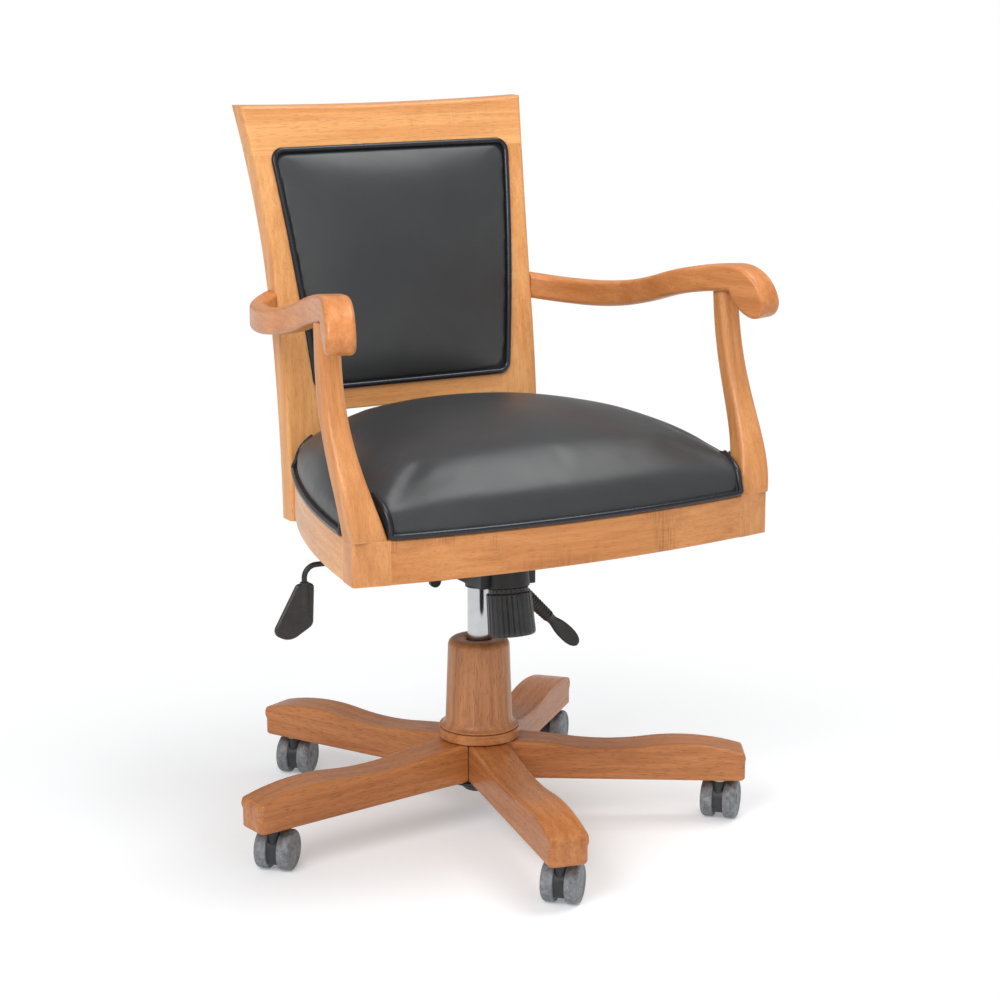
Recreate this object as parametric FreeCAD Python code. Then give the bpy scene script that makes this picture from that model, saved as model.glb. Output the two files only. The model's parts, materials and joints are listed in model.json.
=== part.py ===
import FreeCAD, Part
import math
import os

# Wooden swivel office chair with open arms, padded seat and back, five spokes and twin-wheel casters.
# Millimetres, +Z up, the sitter faces -Y. The origin is on the floor, on the column's axis.

os.makedirs("parts", exist_ok=True)

V = FreeCAD.Vector
X_AXIS = V(1, 0, 0)
Y_AXIS = V(0, 1, 0)
Z_AXIS = V(0, 0, 1)
ORIGIN = V(0, 0, 0)

# Driving dimensions: general
seat_gap = 0.3               # a soft or curved piece and its seat
turn_gap = 0.05              # a shaft and its bore, on the radius
joint_gap = 1.0              # a moving piece and the fixed one beside it
overrun = 400.0              # how far a cutting shape reaches past the work
eased_edge = 1.5             # small edge break on joinery

# Driving dimensions: casters
spoke_count = 5
wheel_diameter = 50.0
wheel_width = 16.0
wheel_edge = 4.0
wheel_gap = 1.0              # between a wheel and the hood beside it
hood_width = 15.0
hood_radius = 21.0
hood_clearance = 11.0        # from the floor to the hood
hood_foot_height = 11.0
hood_foot_length = 16.0
stem_trail = 11.0            # the wheel axle trails this far behind the stem
stem_boss_radius = 7.4
stem_boss_top = 52.0
stem_radius = 5.5
stem_length = 32.0
stem_washer_radius = 9.0
stem_washer_height = 2.0
axle_radius = 3.0
axle_end_gap = 2.0
caster_turn = 44.8           # degrees, where the wheels trail to

# Driving dimensions: spokes and hub
base_turn = -28.46           # degrees, direction of the first spoke
spoke_reach = 334.0
caster_inset = 31.0          # from a spoke's end to its caster's stem
spoke_width = 49.0
spoke_hub_top = 113.0
spoke_wave = 12.5            # height between the dip and the crest of a spoke's top
spoke_end_drop = 19.0
spoke_hub_bottom = 62.0
spoke_tip_bottom = 57.0
spoke_flat_radius = 75.0
spoke_edge = 4.0
spoke_end_radius = 9.0
socket_wall = 2.2
socket_flange = 1.2
ring_height = 10.5
ring_radius = 50.5
ring_round = 4.0
bell_foot_radius = 46.0
bell_top_radius = 38.5
bell_height = 116.0
bell_shoulder = 9.0
bell_cap = 12.0
bell_hole_radius = 15.6
hub_plate_radius = 46.0
hub_plate_thickness = 3.0

# Driving dimensions: gas column
column_radius = 25.0
column_wall = 1.6
column_bottom = 44.0
column_top_gap = 1.5
column_end_radius = 6.0
guide_height = 34.0
lift_radius = 14.0
lift_wall = 2.6
lift_bottom = 130.0
lift_gland = 12.0
lift_taper_top = 346.0
lift_taper_radius = 13.2
rod_radius = 5.0
rod_top = 212.0
piston_height = 10.0
piston_gap = 0.1
clip_radius = 9.0
clip_height = 2.0
bearing_radius = 15.0
bearing_height = 6.0
valve_radius = 4.0
valve_height = 6.0
valve_depth = 22.0

# Driving dimensions: tilt mechanism
boss_radius = 17.0
boss_bottom = 306.0
housing_bottom = 322.0
housing_top = 376.0
housing_half_width = 38.0
housing_wall = 3.0
housing_rear = 50.0
housing_front = -52.0
cup_centre_y = -75.0
cup_centre_z = 322.0
cup_radius = 26.5
cup_height = 47.0
knob_lean = 10.0             # degrees, the knob's lower end leans forward
knob_radius = 30.0
knob_length = 59.0
knob_neck_length = 17.0
knob_neck_radius = 25.5
knob_flutes = 12
knob_flute_radius = 4.0
knob_flute_inset = 1.6
knob_gap = 0.6
bolt_radius = 5.0
tilt_axle_y = 26.0
tilt_axle_z = 364.0
tilt_axle_radius = 5.0
tilt_axle_head = 8.0
tilt_axle_head_height = 3.0
lug_x = -61.0
lug_radius = 7.5
lug_bottom = 311.5
lug_thickness = 5.0
plate_length_front = 112.0
plate_length_rear = 96.0
plate_half_width = 84.0
plate_thickness = 3.0
plate_corner = 14.0
ear_thickness = 3.0
ear_half_length = 17.0

# Driving dimensions: levers
lever_z = 360.0
lever_pivot_x = -27.0
lever_pin_radius = 2.5
lever_eye_radius = 5.5
lever_eye_width = 9.0
lever_lug_width = 2.5
lever_rod_radius = 3.3
lever_rod_end_x = -236.5
lever_bend_radius = 15.0
lever_rod_end_z = 318.0
lever_arm_width = 7.0
lever_arm_height = 6.0
lever_slot_half_height = 9.0
paddle_top_z = 340.0
paddle_height = 67.0
paddle_width = 53.0
paddle_thickness = 6.0
paddle_boss_radius = 5.5
lock_shaft_radius = 5.0
lock_z = 336.0
lock_elbow_out = 8.0         # from the housing's side to the middle of the elbow
lock_grip_x = 58.0
lock_grip_z = 294.0
lock_slope = 44.3            # degrees below level
lock_neck_length = 64.0
lock_neck_radius = 9.5
lock_neck_end_radius = 7.0
lock_rib_depth = 1.6
lock_ribs = 8
lock_waist_radius = 6.0
lock_paddle_length = 59.0
lock_paddle_width = 20.0
lock_paddle_thickness = 8.0

# Driving dimensions: seat frame
rail_bottom = 388.0
rail_height = 51.0
front_half_width = 277.0
front_corner_y = -219.0
front_bow = 28.5
front_rail_thickness = 26.0
side_end_half_width = 172.0
side_bow = 17.5
side_rail_thickness = 25.0
side_rail_scribe = 4.0       # the rail's end is cut to the curve of the stile
frame_corner_radius = 4.0
block_width = 43.0
block_depth = 33.0
rear_rail_thickness = 24.0
rear_rail_inset = 3.0
brace_width = 48.0
brace_height = 22.0
brace_front_y = -92.0
brace_rear_y = 78.0
corner_brace_length = 52.0
corner_brace_height = 34.0
board_thickness = 12.0
board_inset = 14.0

# Driving dimensions: back frame
stile_bottom = 374.0
back_height = 886.0
back_front_y = 162.0
back_depth = 29.0
back_curve_radius = 1640.0
back_curve_start = 358.0     # height where the curve of the back is upright
stile_half_span = 179.0
stile_waist_half_span = 181.0
stile_waist_z = 600.0
stile_flare_radius = 2290.0
stile_inner_half_span = 129.0
crest_width = 51.5           # from the opening's top to the crest's top
crest_joint_drop = 60.0      # from the crest's top to its joint with the stiles
crest_hollow = 3.5
back_rail_bottom = 509.0
opening_bottom = 535.0
opening_half_bottom = 139.7
opening_half_top = 168.9
opening_corner_radius = 16.0
stile_edge = 5.5
panel_board_thickness = 10.0
panel_board_setback = 9.0
pad_edge = 1.0               # how far the pad's edge stands in front of the frame
pad_crown = 13.0
pad_overcut = 4.0
rear_pad_inset = 3.0
rear_pad_crown = 6.0
piping_radius = 3.6
piping_proud = 1.0           # from the frame's face to the piping's centre

# Driving dimensions: arms
arm_turn = 17.0              # degrees, how far the front of an arm turns outward
arm_tip_x = 286.0
arm_tip_y = -210.0
arm_length = 435.0
arm_low_z = 655.3
arm_rise = 52.2
arm_thickness = 32.0
arm_width = 34.0
arm_spread = 120.0
arm_run = 411.0
arm_edge = 6.0
post_top_size = 26.0
post_top_corner = 8.0

# Driving dimensions: cushion
cushion_overhang = 6.5       # how far the cushion's side swells past the rail
cushion_side_height = 48.0
cushion_height = 99.5
cushion_shoulder = 14.0
cushion_rear_y = 184.0
cushion_rear_half_width = 165.0
notch_gap = 1.5
notch_reach = 90.0


def arc(start, middle, end):
    return Part.Arc(start, middle, end).toShape()


def line(start, end):
    return Part.LineSegment(start, end).toShape()


def bowed(start, end, sagitta, side):
    """An arc from start to end whose middle stands off the chord by sagitta towards side."""
    return arc(start, (start + end) * 0.5 + side * sagitta, end)


def closed_face(edges):
    return Part.Face(Part.Wire(Part.__sortEdges__(edges)))


def tangent_arcs(points, direction):
    """Arcs through the points; the first sets out in the direction, and each runs smoothly into the next."""
    edges = []
    for start, end in zip(points, points[1:]):
        chord = end - start
        sideways = chord - direction * chord.dot(direction)
        radius = chord.dot(chord) / (2 * sideways.Length)
        centre = start + sideways.normalize() * radius
        outward = ((start + end) * 0.5 - centre).normalize()
        edges.append(arc(start, centre + outward * radius, end))
        chord.normalize()
        direction = chord * (2 * chord.dot(direction)) - direction
    return edges


def rounded_loop(points, radii):
    """A closed planar wire through points, each corner rounded by its radius."""
    count = len(points)
    edges = []
    starts = []
    ends = []
    for i in range(count):
        corner = points[i]
        before = (points[i - 1] - corner).normalize()
        after = (points[(i + 1) % count] - corner).normalize()
        half = before.getAngle(after) / 2
        reach = radii[i] / math.tan(half)
        bisector = (before + after).normalize()
        centre = corner + bisector * (radii[i] / math.sin(half))
        starts.append(corner + before * reach)
        ends.append(corner + after * reach)
        edges.append(arc(starts[i], centre - bisector * radii[i], ends[i]))
        if i > 0:
            edges.insert(-1, line(ends[i - 1], starts[i]))
    edges.append(line(ends[-1], starts[0]))
    return Part.Wire(edges)


def rounded_rectangle(centre, along, across, length, width, radius):
    corners = [
        centre - along * (length / 2) - across * (width / 2),
        centre + along * (length / 2) - across * (width / 2),
        centre + along * (length / 2) + across * (width / 2),
        centre - along * (length / 2) + across * (width / 2),
    ]
    return rounded_loop(corners, [radius] * len(corners))


def rod(radius, start, end):
    return Part.makeCylinder(radius, (end - start).Length, start, end - start)


def tube(outer, inner, start, end):
    return rod(outer, start, end).cut(rod(inner, start, end))


def box(low, high):
    size = high - low
    return Part.makeBox(size.x, size.y, size.z, low)


def turned(outline):
    """A solid of revolution about Z from a closed loop of (radius, height) points."""
    points = [V(r, 0, z) for r, z in outline]
    face = Part.Face(Part.makePolygon(points + points[:1]))
    return face.revolve(ORIGIN, Z_AXIS, 360)


def fuse(shapes):
    return shapes[0].multiFuse(shapes[1:]).removeSplitter()


def mirrored(shape):
    return shape.mirror(ORIGIN, X_AXIS)


def rotated(shape, degrees):
    copy = shape.copy()
    copy.rotate(ORIGIN, Z_AXIS, degrees)
    return copy


def fillet(shape, radius, wanted):
    """Rounds the edges that wanted picks."""
    edges = [edge for edge in shape.Edges if wanted(edge)]
    return shape.makeFillet(radius, edges)


def last_point(edge):
    return edge.valueAt(edge.LastParameter)


def middle_of(edge):
    return edge.valueAt((edge.FirstParameter + edge.LastParameter) / 2)


def solid_of(shape):
    return max(shape.Solids, key=lambda solid: solid.Volume)


def save(name, shape):
    shape.exportStep("parts/" + name + ".step")


# Casters. Each is drawn with its stem on the Z axis and its wheels trailing to +X, then placed.

wheel_radius = wheel_diameter / 2
caster_circle_radius = spoke_reach - caster_inset
axle_place = V(stem_trail, 0, wheel_radius)
wheel_start = hood_width / 2 + wheel_gap


def caster_wheel(side):
    """One wheel on the side of the hood that side (+1 or -1) names, sloped at the tread's outer edge."""
    outer = wheel_start + wheel_width
    bore = axle_radius + turn_gap
    outline = [(bore, wheel_start), (wheel_radius, wheel_start), (wheel_radius, outer - wheel_edge),
               (wheel_radius - wheel_edge, outer), (bore, outer)]
    wheel = turned(outline)
    wheel.rotate(ORIGIN, X_AXIS, -90 * side)
    wheel.translate(axle_place)
    return wheel


def caster_hood():
    """The swivelling body between the wheels: a disc over the axle, the stem boss and a foot."""
    half = hood_width / 2
    back = axle_place - Y_AXIS * half
    front = axle_place + Y_AXIS * half
    disc = rod(hood_radius, back, front)
    floor_cut = box(V(-overrun, -overrun, -overrun), V(overrun, overrun, hood_clearance))
    boss = rod(stem_boss_radius, V(0, 0, hood_clearance), V(0, 0, stem_boss_top))
    foot = box(V(-stem_boss_radius, -half, hood_clearance),
               V(hood_foot_length, half, hood_clearance + hood_foot_height))
    roof = box(V(0, -stem_boss_radius, wheel_radius),
               V(stem_trail, stem_boss_radius, stem_boss_top - hood_foot_height / 2))
    body = fuse([disc.cut(floor_cut), boss, foot, roof])
    stem_hole = rod(stem_radius, V(0, 0, wheel_radius), V(0, 0, stem_boss_top))
    axle_hole = rod(axle_radius, back, front)
    return body.cut(stem_hole).cut(axle_hole)


def caster_pins():
    """The steel stem with its washer, and the steel axle."""
    stem_top = spoke_tip_bottom + stem_length
    stem = rod(stem_radius, V(0, 0, wheel_radius), V(0, 0, stem_top))
    washer = rod(stem_washer_radius, V(0, 0, stem_boss_top), V(0, 0, stem_boss_top + stem_washer_height))
    half_axle = wheel_start + wheel_width - axle_end_gap
    axle = rod(axle_radius, axle_place - Y_AXIS * half_axle, axle_place + Y_AXIS * half_axle)
    return Part.makeCompound([fuse([stem, washer]), axle])


def placed_caster(shape, index):
    angle = math.radians(base_turn + 360 / spoke_count * index)
    copy = rotated(shape, caster_turn)
    copy.translate(V(math.cos(angle), math.sin(angle), 0) * caster_circle_radius)
    return copy


hood = caster_hood()
pins = caster_pins()
inner_wheel = caster_wheel(1)
outer_wheel = caster_wheel(-1)
for index in range(spoke_count):
    name = "caster_" + str(index + 1)
    save(name + "_hood", placed_caster(hood, index))
    save(name + "_pins", placed_caster(pins, index))
    save(name + "_wheel_right", placed_caster(inner_wheel, index))
    save(name + "_wheel_left", placed_caster(outer_wheel, index))


# Spokes, hub ring, bell and column. The five spokes meet in mitres round the column tube.

socket_radius = stem_radius + socket_wall
wedge_half = math.radians(180 / spoke_count)

# Places on a spoke's top: share of its reach, share of the wave's height. Level at the hub, then where it turns over.
spoke_top_shares = ((0, 0), (0.33, -0.64), (0.63, -0.72))


def spoke():
    """One band-sawn spoke along +X: wavy top, nearly straight underside, rounded end."""
    half = spoke_width / 2
    top = [V(spoke_reach * s, 0, spoke_hub_top + spoke_wave * h) for s, h in spoke_top_shares]
    top.append(V(spoke_reach - spoke_end_radius / 3, 0, spoke_hub_top - spoke_end_drop))
    shoulder = V(spoke_reach, 0, spoke_hub_top - spoke_end_drop - spoke_end_radius)
    foot = V(spoke_reach, 0, spoke_tip_bottom)
    heel = V(spoke_flat_radius, 0, spoke_hub_bottom)
    inner = V(0, 0, spoke_hub_bottom)
    nose = bowed(top[-1], shoulder, spoke_end_radius / 8, V(1, 0, 1).normalize())
    edges = tangent_arcs(top, X_AXIS) + [nose, line(shoulder, foot), line(foot, heel), line(heel, inner),
                                         line(inner, top[0])]
    bar = closed_face(edges)
    bar.translate(Y_AXIS * -half)
    bar = bar.extrude(Y_AXIS * spoke_width)
    bar = fillet(bar, spoke_end_radius, lambda edge: edge.Length > spoke_edge
                 and abs(abs(middle_of(edge).y) - half) < turn_gap and is_upright(edge))
    bar = fillet(bar, spoke_edge, lambda edge: middle_of(edge).x > spoke_flat_radius
                 and abs(abs(middle_of(edge).y) - half) < turn_gap)
    reach = spoke_reach * 2
    wedge = Part.Face(Part.makePolygon([
        ORIGIN, V(reach, -reach * math.tan(wedge_half), 0), V(reach, reach * math.tan(wedge_half), 0),
        ORIGIN]))
    wedge = wedge.extrude(Z_AXIS * overrun)
    bore = rod(column_radius + turn_gap, ORIGIN, Z_AXIS * overrun)
    socket = rod(socket_radius, V(caster_circle_radius, 0, 0),
                 V(caster_circle_radius, 0, spoke_tip_bottom + stem_length + joint_gap))
    return solid_of(bar.common(wedge).cut(bore).cut(socket))


def is_upright(edge):
    first = edge.Vertexes[0].Point
    last = edge.Vertexes[-1].Point
    same_place = abs(first.x - last.x) < turn_gap and abs(first.y - last.y) < turn_gap
    return same_place and first.x > spoke_reach - turn_gap


def stem_sockets():
    """Steel sleeves pressed into the spokes' ends, open below, each with a thin flange."""
    sleeves = []
    top = spoke_tip_bottom + stem_length + joint_gap
    for index in range(spoke_count):
        angle = base_turn + 360 / spoke_count * index
        sleeve = tube(socket_radius, stem_radius + turn_gap, V(caster_circle_radius, 0, spoke_tip_bottom),
                      V(caster_circle_radius, 0, top))
        sleeves.append(rotated(sleeve, angle))
    return Part.makeCompound(sleeves)


one_spoke = spoke()
for index in range(spoke_count):
    save("spoke_" + str(index + 1), rotated(one_spoke, base_turn + 360 / spoke_count * index))
save("stem_sockets", stem_sockets())

ring_bottom = spoke_hub_top
ring_top = ring_bottom + ring_height
bell_top = ring_top + bell_height
column_top = bell_top - bell_cap - column_top_gap
bore_radius = column_radius + turn_gap


def hub_ring():
    outline = [(bore_radius, ring_bottom), (ring_radius, ring_bottom), (ring_radius, ring_top - ring_round),
               (ring_radius - ring_round / 3, ring_top - ring_round / 3),
               (ring_radius - ring_round, ring_top), (bore_radius, ring_top)]
    return turned(outline)


def bell_cover():
    """The turned wooden cover: tapered, round-shouldered, closed over the column but for the lift's hole."""
    outline = [(bore_radius, ring_top), (bell_foot_radius, ring_top), (bell_top_radius, bell_top),
               (bell_hole_radius, bell_top),
               (bell_hole_radius, bell_top - bell_cap), (bore_radius, bell_top - bell_cap)]
    bell = turned(outline)
    return fillet(bell, bell_shoulder, lambda edge: abs(middle_of(edge).z - bell_top) < turn_gap
                  and edge.Length > 2 * math.pi * bell_hole_radius * 1.5)


def hub_plate():
    low = spoke_hub_bottom - hub_plate_thickness
    return tube(hub_plate_radius, bore_radius, V(0, 0, low), V(0, 0, spoke_hub_bottom))


def column_tube():
    """The black outer tube: sloped closed end below, guide sleeve for the lift at the top."""
    inside = column_radius - column_wall
    floor = column_bottom + column_end_radius
    guide = column_top - guide_height
    rod_bore = rod_radius + turn_gap
    lift_bore = lift_radius + turn_gap
    outline = [(rod_bore, column_bottom), (column_radius - column_end_radius, column_bottom), (column_radius, floor),
               (column_radius, column_top), (lift_bore, column_top), (lift_bore, guide), (inside, guide),
               (inside, floor), (rod_bore, floor)]
    return turned(outline)


def piston_rod():
    """The rod that turns in the column's foot, with its thrust bearing, piston and lower clip."""
    seat = column_bottom + column_end_radius + seat_gap
    bar = rod(rod_radius, V(0, 0, column_bottom - clip_height * 2), V(0, 0, rod_top))
    bearing = rod(bearing_radius, V(0, 0, seat), V(0, 0, seat + bearing_height))
    piston = rod(lift_radius - lift_wall - piston_gap, V(0, 0, rod_top - piston_height), V(0, 0, rod_top))
    clip = rod(clip_radius, V(0, 0, column_bottom - seat_gap - clip_height),
               V(0, 0, column_bottom - seat_gap))
    return fuse([bar, bearing, piston, clip])


def lift_tube():
    """The bright tube that rises and turns, hollow round the piston, with a tapered top."""
    body = rod(lift_radius, V(0, 0, lift_bottom), V(0, 0, boss_bottom))
    taper = Part.makeCone(lift_radius, lift_taper_radius, lift_taper_top - boss_bottom,
                          V(0, 0, boss_bottom))
    hollow = rod(lift_radius - lift_wall, V(0, 0, lift_bottom + lift_gland),
                 V(0, 0, boss_bottom - lift_gland))
    gland = rod(rod_radius + turn_gap, V(0, 0, lift_bottom), V(0, 0, lift_bottom + lift_gland))
    valve = rod(valve_radius + turn_gap, V(0, 0, lift_taper_top - valve_depth), V(0, 0, lift_taper_top))
    return fuse([body, taper]).cut(hollow).cut(gland).cut(valve)


valve_top = lift_taper_top + valve_height


def valve_pin():
    travel = lever_arm_height
    return rod(valve_radius, V(0, 0, lift_taper_top - valve_depth + travel), V(0, 0, valve_top))


save("hub_ring", hub_ring())
save("bell_cover", bell_cover())
save("hub_plate", hub_plate())
save("column_tube", column_tube())
save("piston_rod", piston_rod())
save("lift_tube", lift_tube())
save("valve_pin", valve_pin())


# Tilt mechanism: an open steel channel on the lift, a spring cup in front of it and a knob below the cup.

def leaned(shape):
    """Leans a shape drawn upright about the cup's axis point, lower end forward."""
    copy = shape.copy()
    copy.rotate(V(0, cup_centre_y, cup_centre_z), X_AXIS, -knob_lean)
    return copy


def on_cup(height):
    return V(0, cup_centre_y, cup_centre_z + height)


def tilt_housing():
    side = housing_half_width
    wall = housing_wall
    outer = box(V(-side, housing_front, housing_bottom), V(side, housing_rear, housing_top))
    inner = box(V(wall - side, housing_front - wall, housing_bottom + wall),
                V(side - wall, housing_rear - wall, overrun))
    channel = outer.cut(inner)
    cup = leaned(rod(cup_radius, on_cup(0), on_cup(cup_height)))
    cheeks = box(V(-side, cup_centre_y, housing_bottom), V(side, housing_front, housing_top - wall))
    boss = rod(boss_radius, V(0, 0, boss_bottom), V(0, 0, lift_taper_top))
    taper = Part.makeCone(lift_radius, lift_taper_radius, lift_taper_top - boss_bottom,
                          V(0, 0, boss_bottom))
    lug = rod(lug_radius, V(lug_x, -lug_thickness / 2, lug_bottom + lug_radius),
              V(lug_x, lug_thickness / 2, lug_bottom + lug_radius))
    lug_arm = box(V(lug_x, -lug_thickness / 2, lug_bottom + lug_radius),
                  V(-side, lug_thickness / 2, lug_bottom + lug_radius * 2.5))
    pin_lugs = []
    for end in (-1, 1):
        near = end * (lever_eye_width / 2 + seat_gap)
        far = end * (lever_eye_width / 2 + seat_gap + lever_lug_width)
        low = V(-side, min(near, far), lever_z - lever_eye_radius)
        high = V(lever_pivot_x + lever_eye_radius, max(near, far), lever_z + lever_eye_radius)
        pin_lugs.append(box(low, high))
    pin_half = lever_eye_width / 2 + lever_lug_width
    pin = rod(lever_pin_radius, V(lever_pivot_x, -pin_half, lever_z), V(lever_pivot_x, pin_half, lever_z))
    body = fuse([channel, cup, cheeks, boss, lug, lug_arm, pin] + pin_lugs)
    slot = box(V(-side - wall, -lever_rod_radius - joint_gap, lever_z - lever_slot_half_height),
               V(wall - side, lever_rod_radius + joint_gap, lever_z + lever_slot_half_height))
    axle_bore = rod(tilt_axle_radius, V(-overrun, tilt_axle_y, tilt_axle_z),
                    V(overrun, tilt_axle_y, tilt_axle_z))
    lock_bore = rod(lock_shaft_radius + turn_gap, V(side - wall * 2, 0, lock_z), V(side + wall, 0, lock_z))
    bolt_bore = leaned(rod(bolt_radius + turn_gap, on_cup(-knob_length), on_cup(cup_height - wall)))
    return solid_of(body.cut(taper).cut(slot).cut(axle_bore).cut(lock_bore).cut(bolt_bore))


def tilt_axle():
    half = housing_half_width + ear_thickness + joint_gap
    pin = rod(tilt_axle_radius, V(-half, tilt_axle_y, tilt_axle_z), V(half, tilt_axle_y, tilt_axle_z))
    heads = []
    for side in (-1, 1):
        heads.append(rod(tilt_axle_head, V(side * half, tilt_axle_y, tilt_axle_z),
                         V(side * (half + tilt_axle_head_height), tilt_axle_y, tilt_axle_z)))
    return fuse([pin] + heads)


def tension_knob():
    """The knob with its bolt, hanging below the spring cup: a narrower neck over a fluted grip."""
    grip_top = on_cup(-knob_gap - knob_neck_length)
    grip = rod(knob_radius, on_cup(-knob_gap - knob_length), grip_top)
    centre_distance = knob_radius + knob_flute_radius - knob_flute_inset
    flutes = []
    for index in range(knob_flutes):
        angle = 2 * math.pi * index / knob_flutes
        offset = V(math.cos(angle), math.sin(angle), 0) * centre_distance
        flutes.append(rod(knob_flute_radius, on_cup(-knob_length * 2) + offset, on_cup(0) + offset))
    neck = rod(knob_neck_radius, grip_top, on_cup(-knob_gap))
    bolt = rod(bolt_radius, on_cup(-knob_gap), on_cup(cup_height - housing_wall * 2))
    return leaned(fuse([grip.cut(Part.makeCompound(flutes)), neck, bolt]))


plate_top = rail_bottom
plate_bottom = rail_bottom - plate_thickness


def seat_plate():
    """The pressed plate under the seat: rounded corners, two ears for the tilt axle and four bolt holes."""
    centre = V(0, (plate_length_rear - plate_length_front) / 2, plate_bottom)
    length = plate_length_rear + plate_length_front
    outline = rounded_rectangle(centre, X_AXIS, Y_AXIS, plate_half_width * 2, length, plate_corner)
    plate = Part.Face(outline).extrude(Z_AXIS * plate_thickness)
    ears = []
    for side in (-1, 1):
        near = side * (housing_half_width + joint_gap / 2)
        far = side * (housing_half_width + joint_gap / 2 + ear_thickness)
        web = box(V(min(near, far), tilt_axle_y - ear_half_length, tilt_axle_z),
                  V(max(near, far), tilt_axle_y + ear_half_length, plate_bottom))
        round_end = rod(ear_half_length, V(near, tilt_axle_y, tilt_axle_z),
                        V(far, tilt_axle_y, tilt_axle_z))
        ears.extend([web, round_end])
    bore = rod(tilt_axle_radius + turn_gap, V(-overrun, tilt_axle_y, tilt_axle_z),
               V(overrun, tilt_axle_y, tilt_axle_z))
    return fuse([plate] + ears).cut(bore)


save("tilt_housing", tilt_housing())
save("tilt_axle", tilt_axle())
save("tension_knob", tension_knob())
save("seat_plate", seat_plate())


# Levers.

def height_lever_rod():
    """The bent rod of the height lever, its pivot eye, and the arm that presses the valve pin."""
    pivot = V(lever_pivot_x, 0, lever_z)
    bend_start = V(lever_rod_end_x + lever_bend_radius, 0, lever_z)
    bend_end = V(lever_rod_end_x, 0, lever_z - lever_bend_radius)
    bend_centre = V(bend_start.x, 0, bend_end.z)
    bend_middle = bend_centre + V(-1, 0, 1).normalize() * lever_bend_radius
    path = Part.Wire([line(pivot, bend_start), arc(bend_start, bend_middle, bend_end),
                      line(bend_end, V(lever_rod_end_x, 0, lever_rod_end_z))])
    section = Part.Wire([Part.Circle(pivot, X_AXIS, lever_rod_radius).toShape()])
    bar = path.makePipeShell([section], True, True)
    eye = rod(lever_eye_radius, pivot - Y_AXIS * (lever_eye_width / 2),
              pivot + Y_AXIS * (lever_eye_width / 2))
    arm_low = valve_top + seat_gap
    arm = box(V(lever_pivot_x, -lever_arm_width / 2, arm_low),
              V(joint_gap, lever_arm_width / 2, arm_low + lever_arm_height))
    pin_bore = rod(lever_pin_radius + turn_gap, pivot - Y_AXIS * lever_eye_width,
                   pivot + Y_AXIS * lever_eye_width)
    return solid_of(fuse([Part.makeSolid(bar), eye, arm]).cut(pin_bore))


paddle_corner_shares = ((0, 0.02), (0.42, 0.02), (1.04, 0.88), (0.62, 1.06), (0.04, 0.8))
paddle_radius_shares = (0.115, 0.115, 0.17, 0.415, 0.19)
paddle_rod_share = 0.23      # the rod's distance from the paddle's straight side


def height_lever_paddle():
    """The flat moulded paddle, wider below, with a boss round the rod's end."""
    right = lever_rod_end_x + paddle_width * paddle_rod_share
    corners = [V(right - paddle_width * s, 0, paddle_top_z - paddle_height * h) for s,
               h in paddle_corner_shares]
    outline = rounded_loop(corners, [paddle_width * share for share in paddle_radius_shares])
    plate = Part.Face(outline).extrude(Y_AXIS * paddle_thickness)
    plate.translate(Y_AXIS * (-paddle_thickness / 2))
    rim = [edge for edge in plate.Edges if abs(abs(middle_of(edge).y) - paddle_thickness / 2) < turn_gap]
    plate = plate.makeChamfer(eased_edge, rim)
    boss_top = V(lever_rod_end_x, 0, paddle_top_z)
    boss_end = V(lever_rod_end_x, 0, paddle_top_z - paddle_height / 2)
    boss = rod(paddle_boss_radius, boss_top, boss_end)
    hole = rod(lever_rod_radius, boss_top, V(lever_rod_end_x, 0, lever_rod_end_z))
    return fuse([plate, boss]).cut(hole)


lock_rib_crest_share = 0.65


def lock_lever():
    """The tilt lock's lever: a bent shaft out of the housing, a ribbed grip and a flat tip; the grip and the
    tip are drawn along +X, then sloped."""
    side = housing_half_width
    pitch = lock_neck_length / lock_ribs
    taper = (lock_neck_radius - lock_neck_end_radius) / lock_ribs
    outline = [V(0, 0, 0), V(0, lock_neck_radius - lock_rib_depth, 0)]
    for index in range(lock_ribs):
        crest = lock_neck_radius - taper * index
        outline.append(V(pitch * (index + lock_rib_crest_share), crest, 0))
        outline.append(V(pitch * (index + 1), crest - lock_rib_depth, 0))
    waist_end = lock_neck_length + lock_waist_radius
    outline.extend([V(waist_end, lock_waist_radius, 0),
                    V(waist_end + lock_waist_radius, lock_waist_radius, 0),
                    V(waist_end + lock_waist_radius, 0, 0)])
    neck = Part.Face(Part.makePolygon(outline + outline[:1])).revolve(ORIGIN, X_AXIS, 360)
    tip_start = lock_neck_length
    tip = rounded_rectangle(V(tip_start + lock_paddle_length / 2, 0, 0), X_AXIS, Z_AXIS, lock_paddle_length,
                            lock_paddle_width, lock_paddle_width * 0.45)
    tip = Part.Face(tip).extrude(Y_AXIS * lock_paddle_thickness)
    tip.translate(Y_AXIS * (-lock_paddle_thickness / 2))
    rim = [edge for edge in tip.Edges if abs(abs(middle_of(edge).y) - lock_paddle_thickness / 2) < turn_gap]
    grip = fuse([neck, tip.makeChamfer(eased_edge, rim)])
    grip.rotate(ORIGIN, Y_AXIS, lock_slope)
    grip_start = V(lock_grip_x, 0, lock_grip_z)
    grip.translate(grip_start)
    elbow = V(side + lock_elbow_out, 0, lock_z)
    shaft = rod(lock_shaft_radius, V(side - housing_wall * 2, 0, lock_z), elbow)
    bend = Part.makeSphere(lock_shaft_radius, elbow)
    drop = rod(lock_shaft_radius, elbow, grip_start)
    return fuse([grip, shaft, bend, drop])


save("height_lever_rod", height_lever_rod())
save("height_lever_paddle", height_lever_paddle())
save("lock_lever", lock_lever())


# Seat frame. One outline, bowed in front and drawn in towards the back, cuts every piece of it.

rail_top = rail_bottom + rail_height
rail_rear_y = back_front_y + side_rail_scribe


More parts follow.
